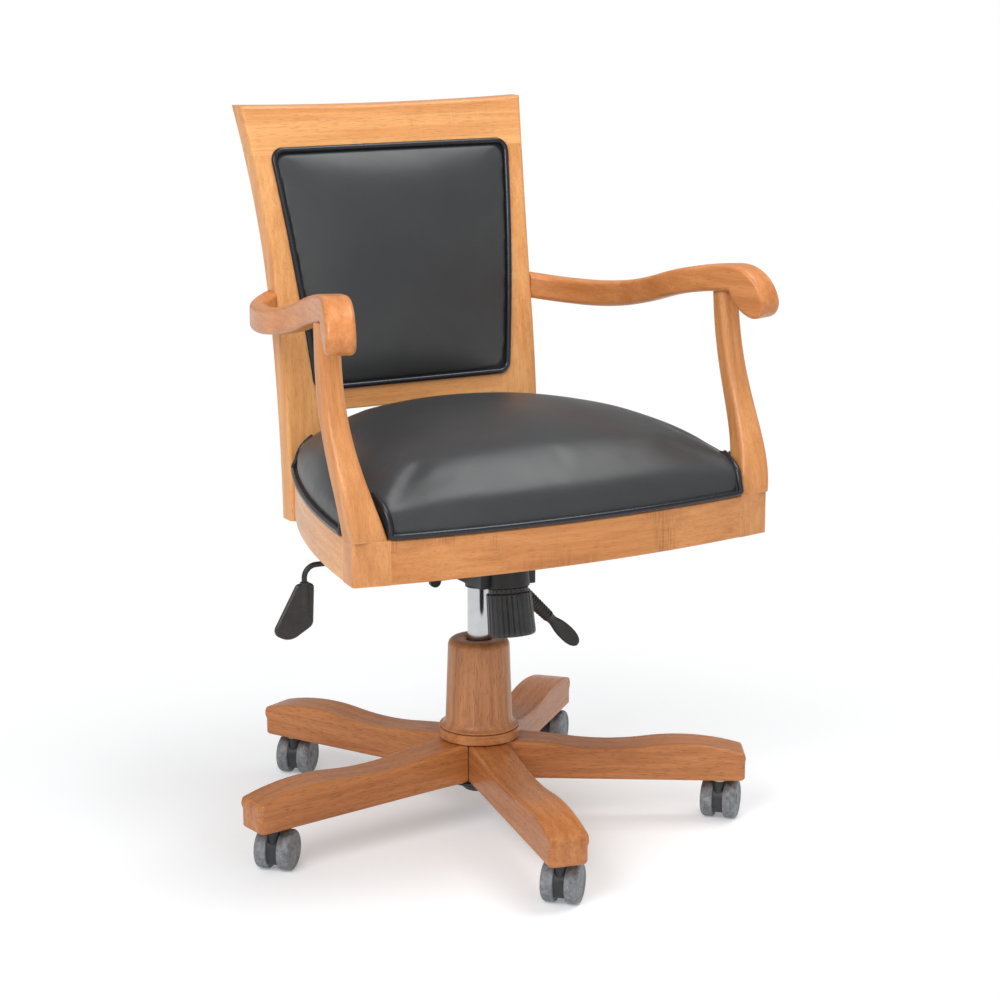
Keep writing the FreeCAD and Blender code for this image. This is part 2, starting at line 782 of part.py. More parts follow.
def seat_outline(grow, z, rear_half, rear_y):
    """The seat's plan at height z, grown outward by grow, as a closed wire."""
    front_y = front_corner_y - grow
    half = front_half_width + grow
    front_left = V(-half, front_y, z)
    front_right = V(half, front_y, z)
    rear_right = V(rear_half + grow, rear_y, z)
    rear_left = V(-rear_half - grow, rear_y, z)
    chord = (rear_right - front_right).normalize()
    outward = V(chord.y, -chord.x, 0)
    left_outward = V(-outward.x, outward.y, 0)
    edges = [bowed(front_left, front_right, front_bow, -Y_AXIS),
             bowed(front_right, rear_right, side_bow, outward),
             line(rear_right, rear_left), bowed(rear_left, front_left, side_bow, left_outward)]
    return Part.Wire(edges)


def frame_outline(grow, z):
    return Part.Face(seat_outline(grow, z, side_end_half_width, rail_rear_y))


def frame_prism(grow, low, high, corner):
    solid = frame_outline(grow, low).extrude(Z_AXIS * (high - low))
    return fillet(solid, corner, lambda edge: is_front_corner(edge, low, high))


def is_front_corner(edge, low, high):
    first = edge.Vertexes[0].Point
    last = edge.Vertexes[-1].Point
    same_place = abs(first.x - last.x) < turn_gap and abs(first.y - last.y) < turn_gap
    return same_place and middle_of(edge).y < 0 and abs(edge.Length - (high - low)) < turn_gap


frame_body = frame_prism(0, rail_bottom, rail_top, frame_corner_radius)
block_inner_x = front_half_width - block_width
block_rear_y = front_corner_y + block_depth - seat_gap
far = overrun


def frame_bows(grow):
    """The circles along the front and along the right side of the seat frame's plan."""
    edges = seat_outline(grow, rail_bottom, side_end_half_width, rail_rear_y).OrderedEdges
    return edges[0].Curve, edges[1].Curve


def bowed_rail(bow, outer, inner):
    """A rail between two arcs of three points each; its long outer edges, which lie on the bow, are eased."""
    edges = [arc(*outer), line(outer[-1], inner[-1]), arc(inner[-1], inner[1], inner[0]),
             line(inner[0], outer[0])]
    rail = closed_face(edges).extrude(Z_AXIS * rail_height)
    long_edges = []
    for edge in rail.Edges:
        spot = middle_of(edge) - bow.Center
        if edge.Length > rail_height * 2 and abs(math.hypot(spot.x, spot.y) - bow.Radius) < turn_gap:
            long_edges.append(edge)
    return rail.makeChamfer(eased_edge, long_edges)


def front_rail():
    """The bowed front rail between the two post blocks."""
    bow = frame_bows(0)[0]
    outer = []
    for x in (-block_inner_x, 0, block_inner_x):
        outer.append(V(x, bow.Center.y - math.sqrt(bow.Radius ** 2 - x ** 2), rail_bottom))
    return bowed_rail(bow, outer, [point + Y_AXIS * front_rail_thickness for point in outer])


def side_rail():
    """The right side rail, from the post block back to the stile's curved front face."""
    bow = frame_bows(0)[1]
    inner_bow = frame_bows(-side_rail_thickness)[1]
    places = (block_rear_y, (block_rear_y + rail_rear_y) / 2, rail_rear_y)
    outer = [on_bow(bow, y, rail_bottom) for y in places]
    inner = [on_bow(inner_bow, y, rail_bottom) for y in places]
    return solid_of(bowed_rail(bow, outer, inner).cut(frame_band))


def rear_rail():
    half = stile_inner_half_span
    front = back_front_y + rear_rail_inset
    return box(V(-half, front, rail_bottom), V(half, front + rear_rail_thickness, rail_top))


def inside_frame(low, high):
    """The space inside the rails, for pieces that fit between them."""
    inner = frame_outline(-side_rail_thickness, low).extrude(Z_AXIS * (high - low))
    front_cut = frame_outline(0, low).extrude(Z_AXIS * (high - low))
    front_cut.translate(Y_AXIS * front_rail_thickness)
    return inner.common(front_cut)


def frame_braces():
    """Two cross bars that carry the plate, and a glue block in each front corner."""
    space = inside_frame(rail_bottom, rail_top)
    pieces = []
    for centre in (brace_front_y, brace_rear_y):
        bar = box(V(-far, centre - brace_width / 2, rail_bottom),
                  V(far, centre + brace_width / 2, rail_bottom + brace_height))
        pieces.append(solid_of(bar.common(space)))
    for side in (-1, 1):
        corner_x = side * block_inner_x
        corner_y = front_corner_y + block_depth
        points = [V(corner_x, corner_y, rail_bottom),
                  V(corner_x - side * corner_brace_length, corner_y, rail_bottom),
                  V(corner_x, corner_y + corner_brace_length, rail_bottom)]
        wedge = Part.Face(Part.makePolygon(points + points[:1])).extrude(Z_AXIS * corner_brace_height)
        wedge.translate(V(-side, 1, 0) * seat_gap)
        pieces.append(solid_of(wedge.common(space)))
    return Part.makeCompound(pieces)


# Back frame. Every piece is cut from one curved band: stiles, crest rail, lower rail, panel and pads.

curve_centre_y = back_front_y + back_curve_radius
opening_top = back_height - crest_width
crest_joint_z = back_height - crest_joint_drop


def back_band(front_offset, depth):
    """A curved slab of the back: its front face stands front_offset behind the frame's front."""
    axis_start = V(-far, curve_centre_y, back_curve_start)
    outer = Part.makeCylinder(back_curve_radius - front_offset, far * 2, axis_start, X_AXIS)
    inner = Part.makeCylinder(back_curve_radius - front_offset - depth, far * 2, axis_start, X_AXIS)
    window = box(V(-far, 0, 0), V(far, far * 2, far * 3))
    return solid_of(outer.cut(inner).common(window))


def stile_side(z):
    """Half the width over the stiles at height z."""
    if z < stile_waist_z:
        share = (z - stile_bottom) / (stile_waist_z - stile_bottom)
        return stile_half_span + (stile_waist_half_span - stile_half_span) * share
    rise = z - stile_waist_z
    return stile_waist_half_span + stile_flare_radius - math.sqrt(stile_flare_radius ** 2 - rise ** 2)


def side_edges(side, low, high):
    """The outer edge of the back frame from low to high, straight to the waist, then flared."""
    def at(z):
        return V(side * stile_side(z), 0, z)
    if low < stile_waist_z:
        middle = (stile_waist_z + high) / 2
        return [line(at(low), at(stile_waist_z)), arc(at(stile_waist_z), at(middle), at(high))]
    return [arc(at(low), at((low + high) / 2), at(high))]


def opening_prism(shrink, front, rear):
    """The panel's opening, narrower below and round at the corners, as a solid between two planes of Y."""
    corners = [V(-opening_half_bottom + shrink, front, opening_bottom + shrink),
               V(opening_half_bottom - shrink, front, opening_bottom + shrink),
               V(opening_half_top - shrink, front, opening_top - shrink),
               V(-opening_half_top + shrink, front, opening_top - shrink)]
    loop = rounded_loop(corners, [opening_corner_radius] * len(corners))
    return Part.Face(loop).extrude(Y_AXIS * (rear - front))


def stile_blank():
    """The right stile's front view, as a solid through the whole depth of the chair."""
    low = V(stile_half_span, 0, stile_bottom)
    edges = side_edges(1, stile_bottom, crest_joint_z)
    top_outer = V(stile_side(crest_joint_z), 0, crest_joint_z)
    top_inner = V(stile_inner_half_span, 0, crest_joint_z)
    foot_inner = V(stile_inner_half_span, 0, stile_bottom)
    edges += [line(top_outer, top_inner), line(top_inner, foot_inner), line(foot_inner, low)]
    return closed_face(edges).extrude(Y_AXIS * far * 2)


def stile():
    """The right stile, rounded on its outer edges and at its foot."""
    post = solid_of(frame_band.common(one_blank).cut(opening))
    return fillet(post, stile_edge, lambda edge: on_stile_side(edge) and edge.Length > back_depth * 2)


def on_stile_side(edge):
    point = middle_of(edge)
    return abs(abs(point.x) - stile_side(point.z)) < turn_gap


def crest_rail():
    """The top rail over both stiles: hollow top edge, and the top corners of the panel's opening."""
    left = side_edges(-1, crest_joint_z, back_height)
    right = side_edges(1, crest_joint_z, back_height)
    top_left = V(-stile_side(back_height), 0, back_height)
    top_right = V(stile_side(back_height), 0, back_height)
    low_left = V(-stile_side(crest_joint_z), 0, crest_joint_z)
    low_right = V(stile_side(crest_joint_z), 0, crest_joint_z)
    edges = left + [bowed(top_left, top_right, crest_hollow, -Z_AXIS)] + right + [line(low_right, low_left)]
    blank = Part.Face(Part.Wire(Part.__sortEdges__(edges))).extrude(Y_AXIS * far * 2)
    rail = solid_of(frame_band.common(blank).cut(opening))
    return fillet(rail, stile_edge, lambda edge: edge.Length > back_depth * 1.5 and (
        on_stile_side(edge) or middle_of(edge).z > back_height - crest_hollow * 3))


def lower_back_rail():
    half = stile_inner_half_span + opening_corner_radius * 2
    blank = box(V(-half, 0, back_rail_bottom), V(half, far * 2, opening_bottom + opening_corner_radius))
    rail = solid_of(frame_band.common(blank).cut(opening).cut(one_stile).cut(mirrored(one_stile)))
    return fillet(rail, eased_edge,
                  lambda edge: edge.Length > half and abs(middle_of(edge).z - back_rail_bottom) < turn_gap)


def back_panel():
    band = back_band(panel_board_setback, panel_board_thickness)
    return solid_of(band.common(opening_prism(seat_gap, 0, far * 2)))


def curve_y(z, offset):
    """Y of the band's face that stands offset behind the frame's front, at height z."""
    return curve_centre_y - math.sqrt((back_curve_radius - offset) ** 2 - (z - back_curve_start) ** 2)


pad_height_shares = (0.0, 0.04, 0.15, 0.35, 0.5, 0.65, 0.85, 0.96, 1.0)


def crowned_pad(back_offset, edge_offset, crown, shrink):
    """A pad between the board and the open side, crowned both ways; crown points away from the board."""
    sign = -1 if edge_offset < back_offset else 1
    low = opening_bottom + shrink
    height = opening_top - opening_bottom - shrink * 2
    sections = []
    for share in pad_height_shares:
        z = low + height * share
        half = opening_half_bottom - shrink + pad_overcut + (opening_half_top - opening_half_bottom) * share
        swell = crown * (1 - (2 * share - 1) ** 4) ** 0.7
        back_y = curve_y(z, back_offset)
        edge_y = curve_y(z, edge_offset)
        left_back = V(-half, back_y, z)
        right_back = V(half, back_y, z)
        left_edge = V(-half, edge_y, z)
        right_edge = V(half, edge_y, z)
        middle = V(0, edge_y + sign * (swell + turn_gap), z)
        sections.append(Part.Wire([line(left_back, right_back), line(right_back, right_edge),
                                   arc(right_edge, middle, left_edge), line(left_edge, left_back)]))
    pad = Part.makeLoft(sections, True, False)
    return solid_of(pad.common(opening_prism(shrink, 0, far * 2)))


def on_curve(point):
    return V(point.x, curve_y(point.z, -piping_proud), point.z)


def bent_edge(edge):
    """The edge as an arc on the curve of the back."""
    return arc(on_curve(edge.valueAt(edge.FirstParameter)), on_curve(middle_of(edge)),
               on_curve(last_point(edge)))


def back_piping():
    """The round welt round the back pad, bent to the curve of the back, in two halves joined in the middle."""
    inset = piping_radius + turn_gap
    half_bottom = opening_half_bottom - inset
    half_top = opening_half_top - inset
    low = opening_bottom + inset
    high = opening_top - inset
    corners = [V(-half_bottom, 0, low), V(half_bottom, 0, low), V(half_top, 0, high), V(-half_top, 0, high)]
    flat = rounded_loop(corners, [opening_corner_radius - inset] * len(corners)).OrderedEdges
    right_side = [edge for edge in flat if middle_of(edge).x > half_bottom / 2]
    chain = Part.Wire(Part.__sortEdges__([bent_edge(edge) for edge in right_side]))
    first = chain.OrderedVertexes[0].Point
    last = chain.OrderedVertexes[-1].Point
    edges = [line(V(0, first.y, first.z), first)] + chain.OrderedEdges + [line(last, V(0, last.y, last.z))]
    half = welt(edges, X_AXIS, piping_radius)
    return Part.makeCompound([half, mirrored(half)])


def welt(edges, direction, radius):
    """A round cord along a chain of edges that sets out in the given direction."""
    path = Part.Wire(Part.__sortEdges__(edges))
    ring = Part.Wire([Part.Circle(path.OrderedVertexes[0].Point, direction, radius).toShape()])
    return path.makePipeShell([ring], True, True)


# Arms and posts, drawn on the right and mirrored.

arm_forward = V(math.sin(math.radians(arm_turn)), -math.cos(math.radians(arm_turn)), 0)
arm_across = V(math.cos(math.radians(arm_turn)), math.sin(math.radians(arm_turn)), 0)
arm_tip = V(arm_tip_x, arm_tip_y, 0)

# Places on the arm's side view: share of its length back from the tip, share of the rise. The dip comes first;
# the others follow forward over the top and round the scroll to its inner end.
arm_dip_share = (0.844, 0.0)
arm_back_share = (1.023, 0.176)
arm_top_shares = ((0.414, 0.546), (0.125, 1.0), (0.0, 0.243), (0.051, -0.165))
arm_under_arcs = 2           # the underside repeats this many arcs of the top, forward from the dip

# Rows on the arm's outer side in plan: shares of its run forward from the stile, of its spread and of its width.
arm_plan_rear_shares = ((0.414, 0.6, 0.73), (0.141, 0.458, 0.66), (-0.036, -0.05, 0.7))
arm_plan_front_shares = ((0.414, 0.6, 0.73), (0.803, 0.783, 0.94), (1.024, 1.025, 1.0))
arm_back_y = curve_y(arm_low_z, back_depth / 2)


def arm_point(shares):
    back_share, rise_share = shares
    return arm_tip - arm_forward * (arm_length * back_share) + Z_AXIS * (arm_low_z + arm_rise * rise_share)


def arm_profile():
    """The side view: gentle dip behind, rise to the front, and the scroll that curls down over the post."""
    dip = arm_point(arm_dip_share)
    drop = Z_AXIS * -arm_thickness
    scroll_end = arm_point(arm_top_shares[1]) + drop
    forward = tangent_arcs([dip] + [arm_point(shares) for shares in arm_top_shares] + [scroll_end],
                           arm_forward)
    rear = tangent_arcs([dip, arm_point(arm_back_share)], -arm_forward)
    under = [edge.translated(drop) for edge in rear + forward[:arm_under_arcs]]
    back = arm_point(arm_back_share)
    face = closed_face(forward + rear + under + [line(back, back + drop)])
    face.translate(arm_across * -far)
    return face.extrude(arm_across * far * 2)


def arm_side(rows, direction, inset):
    """One side of the arm in plan, set in from the outer side by the inset's share of its width."""
    points = []
    for index, (run_share, out_share, width_share) in enumerate(rows):
        ahead = -Y_AXIS
        if index > 0:
            before = rows[index - 1]
            after = rows[min(index + 1, len(rows) - 1)]
            along = V(arm_spread * (after[1] - before[1]), -arm_run * (after[0] - before[0]), 0).normalize()
            ahead = along * math.copysign(1, -along.y)
        place = V(stile_waist_half_span + arm_spread * out_share, arm_back_y - arm_run * run_share,
                  arm_low_z - far)
        inward = V(ahead.y, -ahead.x, 0)
        points.append(place + inward * (arm_width * width_share * inset))
    return tangent_arcs(points, direction)


def arm_plan():
    """The plan view: out from the stile, forward, then flared to the scroll; wider towards the front."""
    edges = []
    for inset in (0, 1):
        edges += arm_side(arm_plan_rear_shares, Y_AXIS, inset) + arm_side(arm_plan_front_shares, -Y_AXIS,
                                                                          inset)
    front = [last_point(edges[index]) for index in (3, 7)]
    back = [last_point(edges[index]) for index in (1, 5)]
    return closed_face(edges + [line(*front), line(*back)]).extrude(Z_AXIS * far * 2)


def arm():
    blank = solid_of(arm_profile().common(arm_plan()))
    rounded = fillet(blank, arm_edge, is_arm_edge)
    return solid_of(rounded.cut(one_blank))


def is_arm_edge(edge):
    """Is this a long edge of the arm, not one across its end or its underside?"""
    chord = edge.Vertexes[-1].Point - edge.Vertexes[0].Point
    return abs(chord.dot(arm_across)) < chord.Length * 0.6 and middle_of(edge).y < arm_back_y


# Rows: height share of the post, distance out, distance back, width and depth in shares of the block's sizes.
post_shares = ((0.0, 0.0, 0.0, 1.0, 1.0), (0.18, 0.19, 0.14, 0.84, 1.0), (0.38, 0.29, 0.46, 0.71, 0.93),
               (0.68, 0.295, 0.85, 0.63, 0.835), (1.02, 0.25, 1.0, 0.605, 0.788))
post_height = 236.0
post_lean_back = 69.5


def arm_post():
    """The sabre post, one piece with its block: square below, swept back and rounded towards the arm."""
    slab = box(V(block_inner_x, -far, rail_bottom), V(far, block_rear_y, rail_top))
    block = solid_of(frame_body.common(slab))
    sections = []
    for rise, out, back, width, depth in post_shares:
        centre = post_centre(out, back, rail_top + post_height * rise)
        corner = post_top_corner * (0.5 + min(rise * 2, 0.5))
        sections.append(rounded_rectangle(centre, X_AXIS, Y_AXIS, block_width * width, block_depth * depth,
                                          corner))
    shaft = Part.makeLoft(sections, True, False)
    return solid_of(fuse([block, shaft]).cut(arm_profile()))


def post_centre(out, back, z):
    centre_x = front_half_width - block_width / 2
    centre_y = front_corner_y + block_depth / 2 - block_depth * 0.12
    return V(centre_x + block_width * out, centre_y + post_lean_back * back, z)


def post_notch():
    """The space the cushion leaves round a post: it follows the post's inner and rear faces."""
    sections = []
    for rise, out, back, width, depth in post_shares:
        centre = post_centre(out, back, rail_top + post_height * rise)
        inner = centre.x - block_width * width / 2 - notch_gap
        rear = centre.y + block_depth * depth / 2 + notch_gap
        front = rear - notch_reach
        points = [V(inner, front, centre.z), V(inner + notch_reach, front, centre.z),
                  V(inner + notch_reach, rear, centre.z),
                  V(inner, rear, centre.z)]
        sections.append(Part.makePolygon(points + points[:1]))
    return Part.makeLoft(sections, True, False)


# Seat board, cushion and piping.

cushion_bottom = rail_top + seat_gap

# Rows: swell of the side in shares of the overhang, height in shares of the side's height.
cushion_side_shares = ((-0.7, 0.0), (-0.6, 0.14), (0.9, 0.4), (0.9, 0.75), (0.3, 1.5), (-0.2, 2.25))

# Rows: distance back from the front corner in shares of the seat's depth, crown height and edge height in
# shares of the cushion's whole height.
cushion_crown_shares = ((-0.14, 0.31, 0.27), (0.0, 0.61, 0.43), (0.2, 0.88, 0.5), (0.5, 1.01, 0.53),
                        (0.785, 0.86, 0.5), (1.02, 0.55, 0.46))


def seat_board(grow):
    """The plywood board the cushion is upholstered on, grown by a clearance for the pocket that holds it."""
    outline = Part.Face(seat_outline(grow - board_inset, rail_top, cushion_rear_half_width,
                                     cushion_rear_y - board_inset / 2))
    board = outline.extrude(Z_AXIS * (board_thickness + grow))
    corners = box(V(block_inner_x - notch_gap - board_inset / 2 + grow, -far, 0),
                  V(far, block_rear_y + board_inset / 2 - grow, far * 2))
    stile_notch = box(V(stile_inner_half_span - notch_gap - board_inset / 2 + grow,
                        back_front_y - notch_gap - board_inset / 2 + grow, 0),
                      V(far, far, far * 2))
    for piece in (corners, stile_notch):
        board = board.cut(piece).cut(mirrored(piece))
    return solid_of(board)


def cushion_side_bow():
    """The circle along the right side of the cushion's plan."""
    return seat_outline(0, 0, cushion_rear_half_width, cushion_rear_y).OrderedEdges[1].Curve


def on_bow(bow, y, z):
    return V(bow.Center.x + math.sqrt(bow.Radius ** 2 - (y - bow.Center.y) ** 2), y, z)


def cushion_dome():
    """The crowned top, as a loft of arches from front to back, wider than the cushion."""
    bow = cushion_side_bow()
    depth = cushion_rear_y - front_corner_y
    sections = []
    for back_share, crown_share, edge_share in cushion_crown_shares:
        y = front_corner_y + depth * back_share
        edge_z = cushion_bottom + cushion_height * edge_share
        right = on_bow(bow, y, edge_z) + X_AXIS * (cushion_overhang * 2)
        left = V(-right.x, y, edge_z)
        low_right = V(right.x, y, rail_bottom)
        low_left = V(left.x, y, rail_bottom)
        crown = V(0, y, cushion_bottom + cushion_height * crown_share)
        sections.append(Part.Wire([line(low_left, low_right), line(low_right, right),
                                   arc(right, crown, left),
                                   line(left, low_left)]))
    return Part.makeLoft(sections, True, False)


def seat_cushion():
    """The upholstered cushion: tucked in below, swelling sides, crowned top, notched at posts and stiles."""
    sections = []
    for grow_share, height_share in cushion_side_shares:
        grow = cushion_overhang * grow_share
        wire = seat_outline(grow, cushion_bottom + cushion_side_height * height_share,
                            cushion_rear_half_width, cushion_rear_y)
        wire.translate(Y_AXIS * (grow / 2))
        sections.append(wire)
    form = solid_of(Part.makeLoft(sections, True, False).common(cushion_dome()))
    form = fillet(form, cushion_shoulder, lambda edge: edge.Length > far / 4
                  and middle_of(edge).z > cushion_bottom + cushion_side_height * 0.7)
    rear_cut = box(V(-far, cushion_rear_y, 0), V(far, far * 2, far * 2))
    stile_notch = box(V(stile_inner_half_span - notch_gap, back_front_y - notch_gap, 0),
                      V(far, far * 2, far * 2))
    form = form.cut(rear_cut)
    for piece in (stile_notch, post_notch()):
        form = form.cut(piece).cut(mirrored(piece))
    return solid_of(form.cut(seat_board(seat_gap)))


def notch_corner(row):
    """The welt's place beside the post at the height that the post's row names."""
    rise, out, back, width, depth = row
    centre = post_centre(out, back, rail_top + post_height * rise)
    return V(centre.x - block_width * width / 2 - notch_gap - piping_radius, centre.y, centre.z)


def front_welt(radius):
    """The welt along the cushion's front edge and up beside each post."""
    z = cushion_bottom + piping_radius
    half = block_inner_x - piping_radius
    bow = seat_outline(0, z, cushion_rear_half_width, cushion_rear_y).OrderedEdges[0].Curve
    left = V(-half, bow.Center.y - math.sqrt(bow.Radius ** 2 - half ** 2), z)
    right = V(half, left.y, z)
    front = arc(left, V(0, bow.Center.y - bow.Radius, z), right)
    runs = [welt([front], front.tangentAt(front.FirstParameter), radius)]
    for side, foot in ((-1, left), (1, right)):
        head = notch_corner(post_shares[1])
        head.x = head.x * side
        runs.append(rod(radius, foot, head))
        runs.append(Part.makeSphere(radius, foot))
    return fuse(runs)


def side_welt():
    """The right side's welt, from behind the post to the stile, in the tuck under the cushion's side."""
    z = cushion_bottom + piping_radius
    bow = cushion_side_bow()
    start_y = notch_corner(post_shares[1]).y + block_depth
    end_y = back_front_y - notch_gap
    ring = Part.makeTorus(bow.Radius, piping_radius, V(bow.Center.x, bow.Center.y, z), Z_AXIS)
    return solid_of(ring.common(box(V(0, start_y, 0), V(far, end_y, far * 2))))


frame_band = back_band(0, back_depth)
opening = opening_prism(0, 0, far * 2)
one_blank = stile_blank()
one_stile = stile()
one_side_rail = side_rail()
save("front_rail", front_rail())
save("left_side_rail", mirrored(one_side_rail))
save("right_side_rail", one_side_rail)
save("rear_rail", rear_rail())
save("frame_braces", frame_braces())
save("left_stile", mirrored(one_stile))
save("right_stile", one_stile)
save("crest_rail", crest_rail())
save("lower_back_rail", lower_back_rail())
save("back_panel", back_panel())
pad_inset = piping_radius * 2 + turn_gap + seat_gap * 2
save("back_pad", crowned_pad(panel_board_setback - seat_gap, -pad_edge, pad_crown, pad_inset))
save("rear_pad", crowned_pad(panel_board_setback + panel_board_thickness + seat_gap, back_depth - eased_edge,
                             rear_pad_crown, rear_pad_inset))
save("back_piping", back_piping())
one_arm = arm()
one_post = arm_post()
save("left_arm", mirrored(one_arm))
save("right_arm", one_arm)
save("left_arm_post", mirrored(one_post))
save("right_arm_post", one_post)
save("seat_board", seat_board(0))
save("seat_cushion", solid_of(seat_cushion().cut(front_welt(piping_radius + seat_gap))))
one_side_welt = side_welt()
save("seat_piping", Part.makeCompound([front_welt(piping_radius), one_side_welt, mirrored(one_side_welt)]))
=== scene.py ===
import json
import math
import bmesh
import bpy
from mathutils import Matrix, Vector, noise
from mathutils.bvhtree import BVHTree


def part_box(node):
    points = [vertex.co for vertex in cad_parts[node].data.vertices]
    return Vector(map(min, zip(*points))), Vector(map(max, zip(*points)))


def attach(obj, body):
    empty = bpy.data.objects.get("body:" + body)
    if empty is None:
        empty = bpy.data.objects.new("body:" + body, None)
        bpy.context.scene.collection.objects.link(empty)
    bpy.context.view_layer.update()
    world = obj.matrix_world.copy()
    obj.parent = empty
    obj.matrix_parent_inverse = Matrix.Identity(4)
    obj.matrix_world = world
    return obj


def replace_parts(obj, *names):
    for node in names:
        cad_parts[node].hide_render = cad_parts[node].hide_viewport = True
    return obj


# Wooden swivel office chair: honey-coloured open-grain frame, charcoal leather seat and back with dark welts,
# redder five-spoke base on twin-wheel casters. Metres, in the frame's own axes: the sitter faces -Y.

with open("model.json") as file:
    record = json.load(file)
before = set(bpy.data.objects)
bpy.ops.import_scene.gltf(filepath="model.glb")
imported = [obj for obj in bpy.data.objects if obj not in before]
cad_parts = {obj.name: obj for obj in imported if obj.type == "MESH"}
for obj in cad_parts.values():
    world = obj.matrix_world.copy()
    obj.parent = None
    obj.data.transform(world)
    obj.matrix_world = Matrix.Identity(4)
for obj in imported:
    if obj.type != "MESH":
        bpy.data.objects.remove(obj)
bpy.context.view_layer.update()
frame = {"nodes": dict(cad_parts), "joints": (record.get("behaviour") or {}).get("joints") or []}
nodes = frame["nodes"]
joints = {joint["name"]: joint for joint in frame["joints"]}
scene = bpy.context.scene
acrossX = Vector((1, 0, 0))
backY = Vector((0, 1, 0))
upZ = Vector((0, 0, 1))
print("frame loaded:", len(nodes), "nodes")


# small helpers for shader trees

def put(tree, kind, sockets=None, **settings):
    node = tree.nodes.new(kind)
    for key, value in settings.items():
        setattr(node, key, value)
    for key, value in (sockets or {}).items():
        if isinstance(value, bpy.types.NodeSocket):
            tree.links.new(value, node.inputs[key])
        else:
            node.inputs[key].default_value = value
    return node


def maths(tree, operation, first, second=0.0):
    return put(tree, "ShaderNodeMath", {0: first, 1: second}, operation=operation).outputs[0]


def times(tree, first, second):
    return maths(tree, "MULTIPLY", first, second)


def mixColour(tree, share, first, second):
    return put(tree, "ShaderNodeMix", {0: share, 6: first, 7: second}, data_type="RGBA").outputs[2]


def between(tree, source, low, high, start=0.0, end=1.0):
    sockets = {"Value": source, "From Min": low, "From Max": high, "To Min": start, "To Max": end}
    return put(tree, "ShaderNodeMapRange", sockets).outputs[0]


def stretched(tree, vector, scales):
    along, across = scales
    return put(tree, "ShaderNodeMapping", {"Vector": vector, "Scale": (along, across, across)}).outputs[0]


def speckle(tree, vector, scale, detail, rough, distortion=0.0):
    sockets = {"Vector": vector, "Scale": scale, "Detail": detail, "Roughness": rough,
               "Distortion": distortion}
    return put(tree, "ShaderNodeTexNoise", sockets).outputs[0]


def newGroup(name, inputs, outputs):
    group = bpy.data.node_groups.new(name, "ShaderNodeTree")
    for label, kind, value in inputs:
        socket = group.interface.new_socket(name=label, in_out="INPUT", socket_type="NodeSocket" + kind)
        if value is not None:
            socket.default_value = value
    for label, kind in outputs:
        group.interface.new_socket(name=label, in_out="OUTPUT", socket_type="NodeSocket" + kind)
    return group, group.nodes.new("NodeGroupInput").outputs, group.nodes.new("NodeGroupOutput").inputs


def rgb(red, green, blue):
    return tuple(((c / 255 + 0.055) / 1.055) ** 2.4 for c in (red, green, blue)) + (1.0,)


# wood figure: long streaks, broad bands, dark open pores and brushed flecks, with the grain along X

surface = [("Color", "Color"), ("Roughness", "Float"), ("Height", "Float")]
figureWave = (1.4, 16)    # per metre along the grain and across it
# the same scales, then detail, roughness and distortion, then the span that is spread to 0 .. 1
figureLayers = {"streak": ((6, 170), (4, 0.6, 0.3), (0.36, 0.66)),
                "band": ((1.6, 24), (3, 0.5, 0.9), (0.34, 0.68)),
                "fleck": ((9, 30), (5, 0.7, 1.5), (0.56, 0.72)),
                "patch": ((18, 11), (2, 0.5, 0.6), (0.52, 0.64)),
                "hatch": ((420, 30), (2, 0.6, 0.4), (0.36, 0.64)),
                "dash": ((75, 1100), (1.5, 0.5, 0.0), (0.56, 0.72))}
figureShares = {"band": 0.34, "wave": 0.2, "relief": 0.25}


def figureLayer(group, place, name):
    scales, (detail, rough, distortion), (low, high) = figureLayers[name]
    spots = speckle(group, stretched(group, place, scales), 1, detail, rough, distortion)
    return between(group, spots, low, high)


def makeWoodFigure():
    inputs = [("Vector", "Vector", None), ("Early", "Color", None), ("Late", "Color", None)]
    inputs += [("Pore", "Color", None), ("Streaks", "Float", 0.5), ("Pores", "Float", 0.5)]
    inputs += [("Flecks", "Float", 0.2), ("Rays", "Float", 0.0)]
    group, into, out = newGroup("woodFigure", inputs, surface)
    place = into["Vector"]
    streak = figureLayer(group, place, "streak")
    band = figureLayer(group, place, "band")
    sockets = {"Vector": stretched(group, place, figureWave), "Scale": 1.0, "Distortion": 6.0, "Detail": 2.0,
               "Detail Scale": 0.7}
    wave = put(group, "ShaderNodeTexWave", sockets, wave_type="BANDS", bands_direction="Y").outputs[1]
    share = times(group, streak, into["Streaks"])
    share = maths(group, "ADD", share, times(group, band, figureShares["band"]))
    share = maths(group, "ADD", share, times(group, wave, figureShares["wave"]))
    colour = mixColour(group, share, into["Early"], into["Late"])
    fleck = figureLayer(group, place, "fleck")
    colour = mixColour(group, times(group, fleck, into["Flecks"]), colour, into["Pore"])
    hatched = times(group, figureLayer(group, place, "patch"), figureLayer(group, place, "hatch"))
    rays = times(group, hatched, into["Rays"])
    colour = mixColour(group, rays, colour, into["Pore"])
    pore = times(group, figureLayer(group, place, "dash"), into["Pores"])
    colour = mixColour(group, pore, colour, into["Pore"])
    group.links.new(colour, out["Color"])
    group.links.new(between(group, pore, 0, 1, 0.36, 0.6), out["Roughness"])
    relief = times(group, streak, figureShares["relief"])
    group.links.new(maths(group, "SUBTRACT", relief, pore), out["Height"])
    return group


# edge finder: white where a bevel would turn the surface, for lighter edges that are partly wear and partly
# painted highlight

edgeWearAndHighlight = {"radius": 0.0022, "strength": 3.0, "wood": 0.35}


